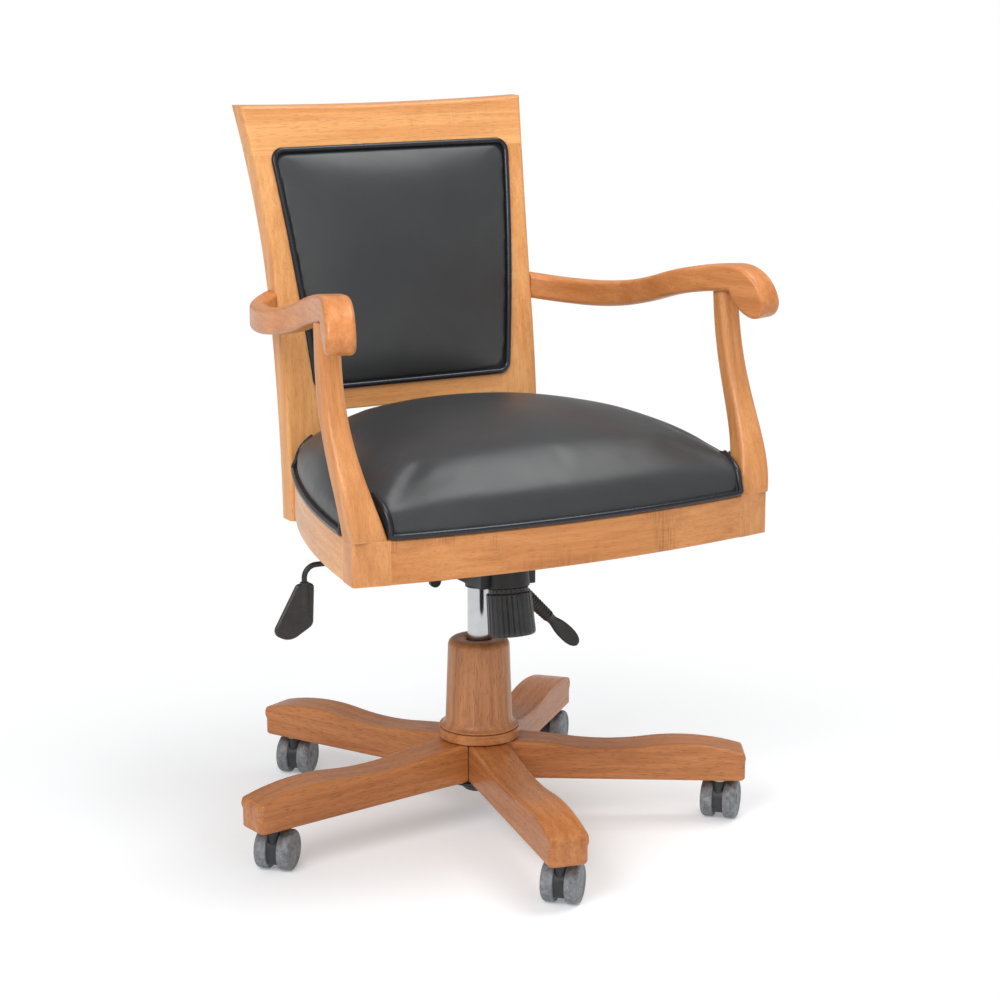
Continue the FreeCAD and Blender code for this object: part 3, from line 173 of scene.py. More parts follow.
def makeEdgeFinder():
    inputs = [("Strength", "Float", edgeWearAndHighlight["strength"])]
    group, into, out = newGroup("edgeFinder", inputs, [("Mask", "Float")])
    bevel = put(group, "ShaderNodeBevel", {"Radius": edgeWearAndHighlight["radius"]}, samples=4).outputs[0]
    true = put(group, "ShaderNodeNewGeometry").outputs["Normal"]
    turn = put(group, "ShaderNodeVectorMath", {0: bevel, 1: true}, operation="DOT_PRODUCT").outputs["Value"]
    bent = times(group, maths(group, "SUBTRACT", 1.0, turn), into["Strength"])
    clipped = put(group, "ShaderNodeClamp", {"Value": bent}).outputs[0]
    group.links.new(clipped, out["Mask"])
    return group


# leather: fine pebbled grain, soft creases that are also painted darker as painted shade, and cloudy tone

hideScales = {"cloud": 9, "pebble": 620.0, "crease": 46.0}


def makeHide():
    inputs = [("Vector", "Vector", None), ("Top", "Color", None), ("Deep", "Color", None)]
    group, into, out = newGroup("hide", inputs + [("Creases", "Float", 0.5)], surface)
    place = into["Vector"]
    cloud = between(group, speckle(group, place, hideScales["cloud"], 3, 0.55, 0.4), 0.32, 0.7)
    sockets = {"Vector": place, "Scale": hideScales["pebble"], "Randomness": 1.0}
    pebble = put(group, "ShaderNodeTexVoronoi", sockets, feature="F1").outputs["Distance"]
    sockets = {"Vector": place, "Scale": hideScales["crease"]}
    crease = put(group, "ShaderNodeTexVoronoi", sockets, feature="DISTANCE_TO_EDGE").outputs["Distance"]
    line = times(group, between(group, crease, 0.0, 0.09, 1.0, 0.0), into["Creases"])
    colour = mixColour(group, cloud, into["Deep"], into["Top"])
    # the crease lines are darkened towards the deep tone: painted shade in the creases
    colour = mixColour(group, times(group, line, 0.35), colour, into["Deep"])
    group.links.new(colour, out["Color"])
    group.links.new(between(group, cloud, 0, 1, 0.42, 0.36), out["Roughness"])
    raised = times(group, pebble, 0.5)
    height = maths(group, "SUBTRACT", raised, times(group, line, 0.3))
    group.links.new(height, out["Height"])
    return group


# scuffs: cloudy wear and fine scratches for metal, plastic and rubber

scratchScale = 1400


def makeScuffs():
    group, into, out = newGroup("scuffs", [("Vector", "Vector", None), ("Scale", "Float", 60.0)],
                                [("Mask", "Float"), ("Height", "Float")])
    cloud = speckle(group, into["Vector"], into["Scale"], 5.0, 0.65)
    fine = speckle(group, into["Vector"], scratchScale, 2, 0.6)
    group.links.new(between(group, cloud, 0.38, 0.68), out["Mask"])
    group.links.new(fine, out["Height"])
    return group


woodFigure = makeWoodFigure()
edgeFinder = makeEdgeFinder()
hide = makeHide()
scuffs = makeScuffs()


def newMaterial(name):
    material = bpy.data.materials.new(name)
    material.use_nodes = True
    tree = material.node_tree
    shader = tree.nodes["Principled BSDF"]
    place = put(tree, "ShaderNodeTexCoord").outputs["Object"]
    return material, tree, shader, place


def bump(tree, shader, height, strength, distance):
    node = put(tree, "ShaderNodeBump", {"Strength": strength, "Distance": distance, "Height": height})
    tree.links.new(node.outputs[0], shader.inputs["Normal"])


# wood finishes: satin lacquer over each member's own straight grain

# each look's edge tone is the lighter colour mixed in at the edges: partly wear, partly painted highlight on
# the rounded edges
honey = {"early": rgb(244, 182, 118), "late": rgb(210, 136, 75), "pore": rgb(152, 92, 47),
         "edge": rgb(244, 190, 128), "streaks": 0.45, "pores": 0.4, "flecks": 0.1, "rays": 0.12}
armHoney = dict(honey, early=rgb(228, 152, 91), late=rgb(190, 114, 60), edge=rgb(238, 174, 114), flecks=0.05,
                rays=0.0)
postHoney = dict(honey, early=rgb(230, 163, 104), late=rgb(196, 125, 70))
railHoney = dict(honey, early=rgb(228, 158, 97), late=rgb(196, 123, 66), pore=rgb(146, 88, 44), flecks=0.3,
                 rays=0.5)
russet = {"early": rgb(208, 138, 82), "late": rgb(166, 98, 52), "pore": rgb(104, 60, 34),
          "edge": rgb(214, 150, 94), "streaks": 0.5, "pores": 0.55, "flecks": 0.15, "rays": 0.0}
bellRusset = dict(russet, early=rgb(214, 152, 102), late=rgb(170, 108, 68))
rawPine = {"early": rgb(226, 196, 150), "late": rgb(196, 160, 110), "pore": rgb(140, 104, 66),
           "edge": rgb(232, 208, 166), "streaks": 0.5, "pores": 0.3, "flecks": 0.1, "rays": 0.0}


def woodMaterial(name, look, grain, gloss=0.16):
    material, tree, shader, place = newMaterial(name)
    turn = Vector(grain).normalized().rotation_difference(acrossX).to_euler()
    along = put(tree, "ShaderNodeMapping", {"Vector": place, "Rotation": turn}).outputs[0]
    figure = put(tree, "ShaderNodeGroup", node_tree=woodFigure)
    tree.links.new(along, figure.inputs["Vector"])
    for label in ("Early", "Late", "Pore", "Streaks", "Pores", "Flecks", "Rays"):
        figure.inputs[label].default_value = look[label.lower()]
    edge = put(tree, "ShaderNodeGroup", node_tree=edgeFinder).outputs["Mask"]
    # edges are mixed towards the lighter edge tone: partly wear, partly painted highlight
    wearAndHighlightShare = times(tree, edge, edgeWearAndHighlight["wood"])
    tree.links.new(mixColour(tree, wearAndHighlightShare, figure.outputs["Color"], look["edge"]), shader.inputs["Base Color"])
    tree.links.new(figure.outputs["Roughness"], shader.inputs["Roughness"])
    shader.inputs["Coat Weight"].default_value = gloss
    shader.inputs["Coat Roughness"].default_value = 0.2
    shader.inputs["Specular IOR Level"].default_value = 0.32
    bump(tree, shader, figure.outputs["Height"], 0.25, 0.0004)
    return material


def leatherMaterial(name, top, deep, creases, rough=0.0):
    material, tree, shader, place = newMaterial(name)
    skin = put(tree, "ShaderNodeGroup", node_tree=hide)
    tree.links.new(place, skin.inputs["Vector"])
    skin.inputs["Top"].default_value = top
    skin.inputs["Deep"].default_value = deep
    skin.inputs["Creases"].default_value = creases
    tree.links.new(skin.outputs["Color"], shader.inputs["Base Color"])
    tree.links.new(maths(tree, "ADD", skin.outputs["Roughness"], rough), shader.inputs["Roughness"])
    shader.inputs["Specular IOR Level"].default_value = 0.5
    shader.inputs["Sheen Weight"].default_value = 0.02
    shader.inputs["Sheen Roughness"].default_value = 0.4
    bump(tree, shader, skin.outputs["Height"], 0.35, 0.0003)
    return material


def hardMaterial(name, look):
    # the tones are the dark and the light one and that of the lighter edges, which are partly wear and partly
    # painted highlight
    material, tree, shader, place = newMaterial(name)
    dark, light, bright = [rgb(*tone) for tone in look["tones"]]
    wear = put(tree, "ShaderNodeGroup", node_tree=scuffs)
    tree.links.new(place, wear.inputs["Vector"])
    wear.inputs["Scale"].default_value = look["scale"]
    edge = put(tree, "ShaderNodeGroup", node_tree=edgeFinder).outputs["Mask"]
    colour = mixColour(tree, wear.outputs["Mask"], dark, light)
    colour = mixColour(tree, times(tree, edge, look["wear"]), colour, bright)
    tree.links.new(colour, shader.inputs["Base Color"])
    low, high = look["rough"]
    tree.links.new(between(tree, wear.outputs["Mask"], 0, 1, low, high), shader.inputs["Roughness"])
    shader.inputs["Metallic"].default_value = look["metal"]
    bump(tree, shader, wear.outputs["Height"], look["bump"], 0.0002)
    return material


# each look's wear is the share of the lighter edge tone at edges: partly wear, partly painted highlight
hardLooks = {
    "blackPaint": {"tones": ((30, 30, 32), (44, 44, 46), (90, 90, 92)),
                  "scale": 40.0, "wear": 0.3, "rough": (0.38, 0.52), "metal": 0.0, "bump": 0.25},
    "polishedTube": {"tones": ((194, 196, 199), (208, 209, 212), (240, 240, 240)),
                    "scale": 30.0, "wear": 0.3, "rough": (0.16, 0.2), "metal": 1.0, "bump": 0.01},
    "plainSteel": {"tones": ((150, 152, 156), (186, 187, 190), (220, 220, 222)),
                  "scale": 70.0, "wear": 0.5, "rough": (0.3, 0.45), "metal": 1.0, "bump": 0.1},
    "blackenedSteel": {"tones": ((34, 35, 37), (56, 57, 60), (104, 105, 108)),
                      "scale": 60.0, "wear": 0.4, "rough": (0.34, 0.5), "metal": 0.6, "bump": 0.15},
    "zincPlate": {"tones": ((176, 168, 140), (206, 198, 164), (226, 220, 190)),
                 "scale": 90.0, "wear": 0.4, "rough": (0.28, 0.42), "metal": 1.0, "bump": 0.1},
    "valveBrass": {"tones": ((176, 140, 70), (208, 172, 96), (230, 200, 130)),
                  "scale": 90.0, "wear": 0.4, "rough": (0.25, 0.4), "metal": 1.0, "bump": 0.1},
    "leverPlastic": {"tones": ((34, 31, 29), (52, 48, 45), (96, 90, 84)),
                    "scale": 55.0, "wear": 0.45, "rough": (0.36, 0.5), "metal": 0.0, "bump": 0.3},
    "knobPlastic": {"tones": ((40, 41, 44), (64, 65, 68), (104, 105, 108)),
                   "scale": 45.0, "wear": 0.4, "rough": (0.3, 0.44), "metal": 0.0, "bump": 0.2},
    "hoodPlastic": {"tones": ((36, 38, 42), (54, 56, 60), (88, 90, 94)),
                   "scale": 80.0, "wear": 0.4, "rough": (0.4, 0.55), "metal": 0.0, "bump": 0.25},
    "wheelPolymer": {"tones": ((102, 105, 109), (150, 153, 157), (172, 175, 179)),
                    "scale": 150.0, "wear": 0.55, "rough": (0.45, 0.62), "metal": 0.0, "bump": 0.5},
}
hard = {name: hardMaterial(name, look) for name, look in hardLooks.items()}
seatHide = leatherMaterial("charcoalHide", rgb(59, 60, 61), rgb(51, 52, 54), 0.5)
weltHide = leatherMaterial("weltHide", rgb(30, 34, 44), rgb(18, 20, 28), 0.2, -0.12)
# paintedShadow is a near-black leather for painted shadow: the tucks behind the welts and the corners between
# the spokes
paintedShadow = leatherMaterial("paintedShadow", rgb(14, 15, 18), rgb(9, 10, 12), 0.2, 0.2)
print("materials made:", len(bpy.data.materials))


# finishes of the carried-over frame pieces

def dress(mesh, material):
    mesh.materials.clear()
    mesh.materials.append(material)


def finish(material, *names):
    for name in names:
        dress(nodes[name].data, material)


def middle(name):
    low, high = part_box(name)
    return (low + high) * 0.5


armTurn = math.radians(17)      # the arms' splay in plan
armAxis = Vector((math.sin(armTurn), -math.cos(armTurn), 0))
finish(woodMaterial("stileWood", honey, (0, 0.04, 1)), "left_stile", "right_stile")
finish(woodMaterial("crestWood", honey, acrossX), "crest_rail", "lower_back_rail", "rear_rail")
finish(woodMaterial("frontRailWood", railHoney, acrossX), "front_rail")
finish(woodMaterial("rightRailWood", honey, (0.26, -1, 0)), "right_side_rail")
finish(woodMaterial("leftRailWood", honey, (-0.26, -1, 0)), "left_side_rail")
finish(woodMaterial("rightArmWood", armHoney, armAxis), "right_arm")
finish(woodMaterial("leftArmWood", armHoney, (-armAxis.x, armAxis.y, 0)), "left_arm")
finish(woodMaterial("postWood", postHoney, (0, 0.25, 1)), "left_arm_post", "right_arm_post")
bellWood = woodMaterial("bellWood", bellRusset, upZ, 0.14)
ringWood = woodMaterial("ringWood", russet, acrossX, 0.14)
finish(bellWood, "bell_cover")
finish(ringWood, "hub_ring")
finish(woodMaterial("braceWood", rawPine, acrossX, 0.0), "frame_braces", "seat_board", "back_panel")
for index in range(1, 6):
    outward = middle("caster_%d_hood" % index)
    outward.z = 0
    finish(woodMaterial("spokeWood%d" % index, russet, outward, 0.14), "spoke_%d" % index)
    finish(hard["hoodPlastic"], "caster_%d_hood" % index)
    finish(hard["zincPlate"], "caster_%d_pins" % index)
    finish(hard["wheelPolymer"], "caster_%d_wheel_left" % index, "caster_%d_wheel_right" % index)
finish(hard["blackPaint"], "column_tube", "tilt_housing", "seat_plate", "height_lever_rod")
finish(hard["plainSteel"], "piston_rod", "tilt_axle")
finish(hard["blackenedSteel"], "hub_plate")
finish(hard["zincPlate"], "stem_sockets")
finish(hard["polishedTube"], "lift_tube")
finish(hard["valveBrass"], "valve_pin")
finish(hard["leverPlastic"], "height_lever_paddle", "lock_lever")
finish(hard["knobPlastic"], "tension_knob")
finish(seatHide, "seat_cushion", "back_pad", "rear_pad")
finish(weltHide, "seat_piping", "back_piping")


# small helpers for meshes

def ramp(value, low, high):
    return min(max((value - low) / (high - low), 0.0), 1.0)


def newObject(name, mesh, material, body):
    piece = bpy.data.objects.new(name, mesh)
    scene.collection.objects.link(piece)
    dress(mesh, material)
    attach(piece, body)
    return piece


def shade(mesh, crease=35):
    work = bmesh.new()
    work.from_mesh(mesh)
    for face in work.faces:
        face.smooth = True
    for edge in work.edges:
        edge.smooth = len(edge.link_faces) != 2 or edge.calc_face_angle(0) < math.radians(crease)
    work.to_mesh(mesh)
    work.free()


def finished(work, name, crease=35):
    mesh = bpy.data.meshes.new(name)
    work.to_mesh(mesh)
    work.free()
    shade(mesh, crease)
    return mesh


def bridged(work, rings, steps):
    for first, second in zip(rings, rings[1:]):
        for step in range(steps):
            after = (step + 1) % steps
            work.faces.new((first[step], first[after], second[after], second[step]))


def turnedMesh(name, profile, centre, axis, steps, wave=None):
    # rings of points round the axis; wave(angle, index) changes a ring's radius
    work = bmesh.new()
    rings = []
    for index, (radius, height) in enumerate(profile):
        ring = []
        for step in range(steps):
            angle = 2 * math.pi * step / steps
            reach = radius + (wave(angle, index) if wave else 0)
            ring.append(work.verts.new((reach * math.cos(angle), reach * math.sin(angle), height)))
        rings.append(ring)
    bridged(work, rings, steps)
    bmesh.ops.remove_doubles(work, verts=work.verts, dist=1e-6)
    bmesh.ops.recalc_face_normals(work, faces=work.faces)
    turn = upZ.rotation_difference(Vector(axis).normalized()).to_matrix().to_4x4()
    bmesh.ops.transform(work, matrix=Matrix.Translation(centre) @ turn, verts=work.verts)
    return finished(work, name)


def evaluated(piece):
    return piece.evaluated_get(bpy.context.evaluated_depsgraph_get())


def weltMesh(name, points, radius, closed=False, sides=16):
    curve = bpy.data.curves.new(name, "CURVE")
    curve.dimensions = "3D"
    spline = curve.splines.new("POLY")
    spline.points.add(len(points) - 1)
    for place, point in zip(spline.points, points):
        place.co = (*point, 1)
    spline.use_cyclic_u = closed
    curve.bevel_depth = radius
    curve.bevel_resolution = sides // 4
    curve.use_fill_caps = not closed
    helper = bpy.data.objects.new(name + "Path", curve)
    scene.collection.objects.link(helper)
    mesh = bpy.data.meshes.new_from_object(evaluated(helper))
    bpy.data.objects.remove(helper)
    mesh.name = name
    shade(mesh, 60)
    return mesh


# casters: rounded treads with a raised rim and a hub cap

# edges: in from the tread or the cap, then out from the inner face, or a share of the rim's or dish's depth
wheel = {"radius": 0.025, "half": 0.008, "rim": 0.0042, "dish": 0.0009, "cap": 0.0075, "bore": 0.0032,
         "steps": 72, "innerEdge": ((0.0026, 0.0), (0.0008, 0.0007), (0.0, 0.0022)),
         "outerEdge": ((0.0, 1.0), (0.0005, 0.62), (0.0017, 0.28), (0.0034, 0.07), (0.0052, 0.0)),
         "dishEdge": ((0.0062, 0.3), (0.0066, 1.0)), "capFoot": ((0.0016, 1.5), (0.0, 1.2)),
         "capEdge": ((0.0006, 0.0002), (0.002, 0.0))}


def wheelProfile():
    radius, half, cap = wheel["radius"], wheel["half"], wheel["cap"]
    rows = [(wheel["bore"], -half)]
    rows += [(radius - inset, out - half) for inset, out in wheel["innerEdge"]]
    rows += [(radius - inset, half - wheel["rim"] * share) for inset, share in wheel["outerEdge"]]
    rows += [(radius - inset, half - wheel["dish"] * share) for inset, share in wheel["dishEdge"]]
    rows += [(cap + out, half - wheel["dish"] * share) for out, share in wheel["capFoot"]]
    rows += [(cap - inset, half - drop) for inset, drop in wheel["capEdge"]]
    return rows + [(0.0, half)]


for index in range(1, 6):
    centres = {side: middle("caster_%d_wheel_%s" % (index, side)) for side in ("left", "right")}
    for side, other in (("left", "right"), ("right", "left")):
        outward = (centres[side] - centres[other]).normalized()
        mesh = turnedMesh("wheel%d%s" % (index, side), wheelProfile(), centres[side], outward, wheel["steps"])
        name = "caster%dWheel%s" % (index, side.capitalize())
        piece = newObject(name, mesh, hard["wheelPolymer"], "caster_%d_%s" % (index, side))
        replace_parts(piece, "caster_%d_wheel_%s" % (index, side))
print("casters made")


# hub ring and bell: a flat-sided turned collar, a dark groove, then the bell on its flared foot

hub = {"edge": 0.0014, "lift": 0.0022, "groove": 0.0011, "grooveDepth": 0.004, "lip": 0.0022,
       "lipInset": 0.0012, "lipEdge": 0.0006, "lipTopEdge": 0.0005, "lipDrop": 0.0004, "flare": 0.012,
       "flareIn": 0.0076, "flareShare": 0.94, "topRadius": 0.0385, "shoulder": 0.009, "hole": 0.0158,
       "dish": 0.0016, "dishFoot": 0.001, "dishOut": 0.004, "cap": 0.0118, "fit": 0.0001, "rows": 8,
       "steps": 96}


def quarter(centreR, centreZ, reachR, reachZ, steps=6):
    # a quarter turn from the side of a round edge to its top
    rows = []
    for step in range(steps + 1):
        angle = math.pi / 2 * step / steps
        rows.append((centreR + reachR * math.cos(angle), centreZ + reachZ * math.sin(angle)))
    return rows


def collarProfile():
    low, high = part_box("hub_ring")
    radius = high.x
    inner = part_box("column_tube")[1].x + hub["fit"]
    top = high.z + hub["lift"]
    edge = hub["edge"]
    rows = [(inner, low.z), (radius - edge, low.z), (radius, low.z + edge)]
    rows += quarter(radius - edge, top - edge, edge, edge)
    return rows + [(radius - hub["grooveDepth"], top), (inner, top), (inner, low.z)]


def bellProfile():
    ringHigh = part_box("hub_ring")[1]
    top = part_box("bell_cover")[1].z
    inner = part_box("column_tube")[1].x + hub["fit"]
    foot = ringHigh.z + hub["lift"]
    lipFoot = foot + hub["groove"]
    lipTop = lipFoot + hub["lip"]
    radius = ringHigh.x - hub["lipInset"]
    body = radius - hub["flareIn"]
    rows = [(inner, foot), (radius - hub["grooveDepth"], foot), (radius - hub["grooveDepth"], lipFoot)]
    rows += [(radius - hub["lipEdge"], lipFoot), (radius, lipFoot + hub["lipEdge"])]
    rows += [(radius, lipTop - hub["lipDrop"]), (radius - hub["lipTopEdge"], lipTop)]
    for step in range(1, hub["rows"] + 1):
        angle = math.pi / 2 * step / hub["rows"]
        out = hub["flareIn"] * (1 - math.sin(angle)) * hub["flareShare"]
        rows.append((body + out, lipTop + hub["flare"] * (1 - math.cos(angle))))
    start = rows[-1][1]
    shoulder = hub["shoulder"]
    end = top - shoulder
    for step in range(1, hub["rows"] + 1):
        share = step / hub["rows"]
        rows.append((body + (hub["topRadius"] - body) * share, start + (end - start) * share))
    rows += quarter(hub["topRadius"] - shoulder, end, shoulder, shoulder, hub["rows"])[1:]
    rows += [(hub["hole"] + hub["dishOut"], top), (hub["hole"] + hub["dishFoot"], top - hub["dish"])]
    rows += [(hub["hole"], top - hub["dish"] * 2), (hub["hole"], top - hub["cap"]), (inner, top - hub["cap"])]
    return rows + [(inner, foot)]


for name, node, profile, wood in (("hubCollar", "hub_ring", collarProfile(), ringWood),
                                  ("bellShell", "bell_cover", bellProfile(), bellWood)):
    mesh = turnedMesh(name, profile, Vector(), upZ, hub["steps"])
    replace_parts(newObject(name, mesh, wood, "base"), node)


# shadow gaps where two spokes meet beside the hub

gap = {"firstSpoke": -28.46, "spokes": 5, "halfWidth": 0.0245, "radius": 0.0011, "low": 0.0635,
       "high": 0.1125, "turnIn": 0.004}


def gapMesh():
    # one thin line in each corner between two spokes, its ends turned in towards the hub
    work = bmesh.new()
    turn = 2 * math.pi / gap["spokes"]
    reach = gap["halfWidth"] / math.sin(turn / 2)
    inner, radius = reach - gap["turnIn"], gap["radius"]
    for index in range(gap["spokes"]):
        angle = math.radians(gap["firstSpoke"]) + turn * (index + 0.5)
        out = Vector((math.cos(angle), math.sin(angle), 0))
        line = [out * inner + upZ * gap["low"], out * reach + upZ * (gap["low"] + radius)]
        line += [out * reach + upZ * (gap["high"] - radius), out * inner + upZ * gap["high"]]
        strip = weltMesh("spokeGap", line, radius, False, 8)
        work.from_mesh(strip)
        bpy.data.meshes.remove(strip)
    return finished(work, "spokeGaps", 60)


newObject("spokeGaps", gapMesh(), paintedShadow, "base")


# tension knob: a narrower neck over a tapered grip with fine upright ribs

knob = {"gap": 0.0006, "length": 0.059, "neck": 0.0062, "neckRadius": 0.0245, "neckEdge": 0.001,
        "neckFoot": 0.0003, "gripTop": 0.0276, "gripFoot": 0.0292, "topEdge": 0.0014, "ribTop": 0.004,
        "edge": 0.0045, "ribs": 26, "ribDepth": 0.0015, "perRib": 8, "footRing": (0.55, 0.5),
        "footHollow": 0.0012}
knobAxis = Vector(joints["knob_turn"]["axis"]).normalized()
knobPlace = Vector(joints["knob_turn"]["pos_m"])


def knobRows():
    # radius, height, and the share of the ribs' depth
    top = -knob["gap"]
    shoulder = top - knob["neck"]
    foot = top - knob["length"]
    neck, grip, edge = knob["neckRadius"], knob["gripTop"], knob["edge"]
    rows = [(0.0, top, 0), (neck - knob["neckEdge"], top, 0), (neck, top - knob["neckEdge"], 0.4)]
    rows += [(neck, shoulder + knob["neckFoot"], 0.4), (grip - knob["topEdge"], shoulder, 0.2)]
    rows += [(grip, shoulder - knob["topEdge"], 0.8), (grip, shoulder - knob["ribTop"], 1)]
    rows.append((knob["gripFoot"], foot + edge * 1.3, 1))
    for step in range(1, 6):
        angle = math.pi / 2 * step / 5
        radius = knob["gripFoot"] - edge * (1 - math.cos(angle))
        rows.append((radius, foot + edge * (1 - math.sin(angle)), 1 - step / 5))
    outer, inner = [knob["gripFoot"] * share for share in knob["footRing"]]
    hollow = foot + knob["footHollow"]
    return rows + [(outer, foot, 0), (inner, hollow, 0), (0.0, hollow, 0)]


rows = knobRows()


def knobWave(angle, index):
    groove = max(0.0, math.cos(angle * knob["ribs"])) ** 2
    return -knob["ribDepth"] * groove * rows[index][2]


mesh = turnedMesh("tensionKnob", [(radius, height) for radius, height, depth in rows], knobPlace, knobAxis,
                  knob["ribs"] * knob["perRib"], knobWave)
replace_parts(newObject("tensionGrip", mesh, hard["knobPlastic"], "knob"), "tension_knob")


# tilt lock lever: a bent shank, a grip with tight rings, and a leaf with a raised rim

lever = {"pivot": Vector((0.036, 0, 0.336)), "elbow": Vector((0.0462, 0, 0.336)), "slope": 44.3,
         "grip": Vector((0.0575, 0, 0.2945)), "bend": 0.007, "shank": 0.005, "rings": 13, "ringPitch": 0.0046,
         "ringDepth": 0.0012, "wide": 0.0096, "narrow": 0.0078, "sides": 36, "dish": 0.0012, "dishHalf": 0.72,
         "dishSlope": 0.12, "dishStart": 0.0068, "dishFull": 0.0086, "bendSteps": 6}
# share of a ring's pitch and of its depth
ringShares = ((0.0, 1.0), (0.25, 0.35), (0.5, 0.0), (0.75, 0.35))
# distance along the leaf, half width and half thickness
leafRows = ((0.004, 0.0062, 0.0056), (0.009, 0.0062, 0.0048), (0.014, 0.0074, 0.0044), (0.02, 0.0088, 0.0042),
            (0.028, 0.0098, 0.0041), (0.037, 0.0102, 0.004), (0.045, 0.0098, 0.0038), (0.052, 0.0084, 0.0036),
            (0.0565, 0.0064, 0.0032), (0.0592, 0.004, 0.0024), (0.0602, 0.0014, 0.0012))
slope = math.radians(lever["slope"])
leverAlong = Vector((math.cos(slope), 0, -math.sin(slope)))
leverAcross = Vector((math.sin(slope), 0, math.cos(slope)))


def leverRows():
    # distance along the grip, half width, half thickness, and how far the faces are hollowed
    rows = []
    for index in range(lever["rings"]):
        crest = lever["wide"] + (lever["narrow"] - lever["wide"]) * index / (lever["rings"] - 1)
        start = index * lever["ringPitch"]
        for share, fall in ringShares:
            radius = crest - lever["ringDepth"] * fall
            rows.append((start + lever["ringPitch"] * share, radius, radius, 0.0))
    end = lever["rings"] * lever["ringPitch"]
    for distance, half, thick in leafRows:
        hollow = ramp(half, lever["dishStart"], lever["dishFull"]) * lever["dish"]
        rows.append((end + distance, half, thick, hollow))
    return rows


def leverMesh(name):
    work = bmesh.new()
    rings = []
    for distance, half, thick, dish in leverRows():
        ring = []
        for step in range(lever["sides"]):
            angle = 2 * math.pi * step / lever["sides"]
            across = math.cos(angle)
            depth = math.sin(angle)
            flat = ramp(abs(across), lever["dishHalf"] - lever["dishSlope"], lever["dishHalf"])
            hollow = dish * (1 - flat)
            place = lever["grip"] + leverAlong * distance + leverAcross * across * half
            place.y += depth * thick - math.copysign(hollow, depth)
            ring.append(work.verts.new(place))
        rings.append(ring)
    bridged(work, rings, lever["sides"])
    work.faces.new(rings[0])
    work.faces.new(rings[-1])
    bmesh.ops.recalc_face_normals(work, faces=work.faces)
    return finished(work, name, 50)


leaf = newObject("lockLeaf", leverMesh("lockLeaf"), hard["leverPlastic"], "lock_handle")
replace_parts(leaf, "lock_lever")
shankStart = lever["elbow"] - acrossX * lever["bend"]
shankEnd = lever["elbow"] + (lever["grip"] - lever["elbow"]).normalized() * lever["bend"]
shankPath = [lever["pivot"]]
for step in range(lever["bendSteps"] + 1):
    share = step / lever["bendSteps"]
    bend = lever["elbow"] * 2 * share * (1 - share)
    shankPath.append(shankStart * (1 - share) ** 2 + bend + shankEnd * share ** 2)
shankPath.append(lever["grip"] + leverAlong * lever["bend"] / 2)
mesh = weltMesh("lockShank", shankPath, lever["shank"])
newObject("lockShank", mesh, hard["leverPlastic"], "lock_handle")
print("turned pieces and lever made")


# welts: round leather cords along the seat's foot and round the back pad

seatPlan = {"frontHalf": 0.277, "cornerY": -0.219, "frontBow": 0.0285, "rearHalf": 0.165, "rearY": 0.184,
            "sideBow": 0.0175, "gap": 0.0003}
rim = {"depth": 0.045, "swell": 0.0036, "edgeTop": 0.047, "frontTop": 0.0675, "frontFall": 0.182,
       "sideTop": 0.0728, "sideFall": 0.555, "sideMiddle": -0.01, "turn": 0.03, "low": 0.12, "power": 5,
       "cornerX": (0.15, 0.235), "cornerY": (0.1, 0.19), "flatFoot": 0.001}
welt = {"radius": 0.0036, "frontHalf": 0.2345, "turn": 0.005, "frontRise": 0.0465, "frontTop": 0.0468,
        "spread": 0.09, "frontOut": -0.0005, "postRear": -0.1805, "postRise": 0.04, "postLean": 0.3,
        "stileFront": 0.1585, "stileRise": 0.0455, "stileLean": 0.05, "sideTop": 0.0525, "proud": 0.0022,
        "laidFrom": (0.002, 0.012), "evenFrom": 0.003, "backProud": -0.001, "rearSet": 0.0262,
        "backCorner": 0.0125, "frontSteps": 60, "sideSteps": 44, "climbSteps": 10, "evenings": 4}
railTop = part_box("front_rail")[1].z
cushionFoot = railTop + seatPlan["gap"]
weltZ = cushionFoot + welt["radius"]


def bowCentre(start, end, sagitta, outward):
    # centre and radius of the arc from start to end that stands off its chord by sagitta
    half = (end - start).length / 2
    radius = (half ** 2 + sagitta ** 2) / (2 * sagitta)
    return (start + end) * 0.5 - outward * (radius - sagitta), radius


def makeBows():
    corner = Vector((seatPlan["frontHalf"], seatPlan["cornerY"], 0))
    other = Vector((-seatPlan["frontHalf"], seatPlan["cornerY"], 0))
    rear = Vector((seatPlan["rearHalf"], seatPlan["rearY"], 0))
    chord = (corner - rear).normalized()
    front = bowCentre(other, corner, seatPlan["frontBow"], -backY)
    return front, bowCentre(corner, rear, seatPlan["sideBow"], Vector((-chord.y, chord.x, 0)))


(frontCentre, frontRadius), (sideCentre, sideRadius) = makeBows()


def frontY(x):
    return frontCentre.y - math.sqrt(frontRadius ** 2 - (x - frontCentre.x) ** 2)


def sideX(y):
    return sideCentre.x + math.sqrt(sideRadius ** 2 - (y - sideCentre.y) ** 2)


def rimDepth(rise, top):
    # how far in from the rail the cushion's round rim stands at this rise
    return rim["depth"] - (rim["depth"] + rim["swell"]) * math.sqrt(max(1 - (rise / top) ** 2, 0.0))


def turnPoints(corner, before, after, radius, steps=5):
    # a rounded right-angled turn: before and after point away from the corner
    centre = corner + (before + after) * radius
    points = []
    for step in range(steps + 1):
        angle = math.pi / 2 * step / steps
        points.append(centre - after * (radius * math.cos(angle)) - before * (radius * math.sin(angle)))
    return points


def climb(top):
    # heights over the welt's line from the end of its turn to the top of a climbing end
    start, steps = welt["turn"], welt["climbSteps"]
    return [start + (top - start) * step / steps for step in range(1, steps + 1)]


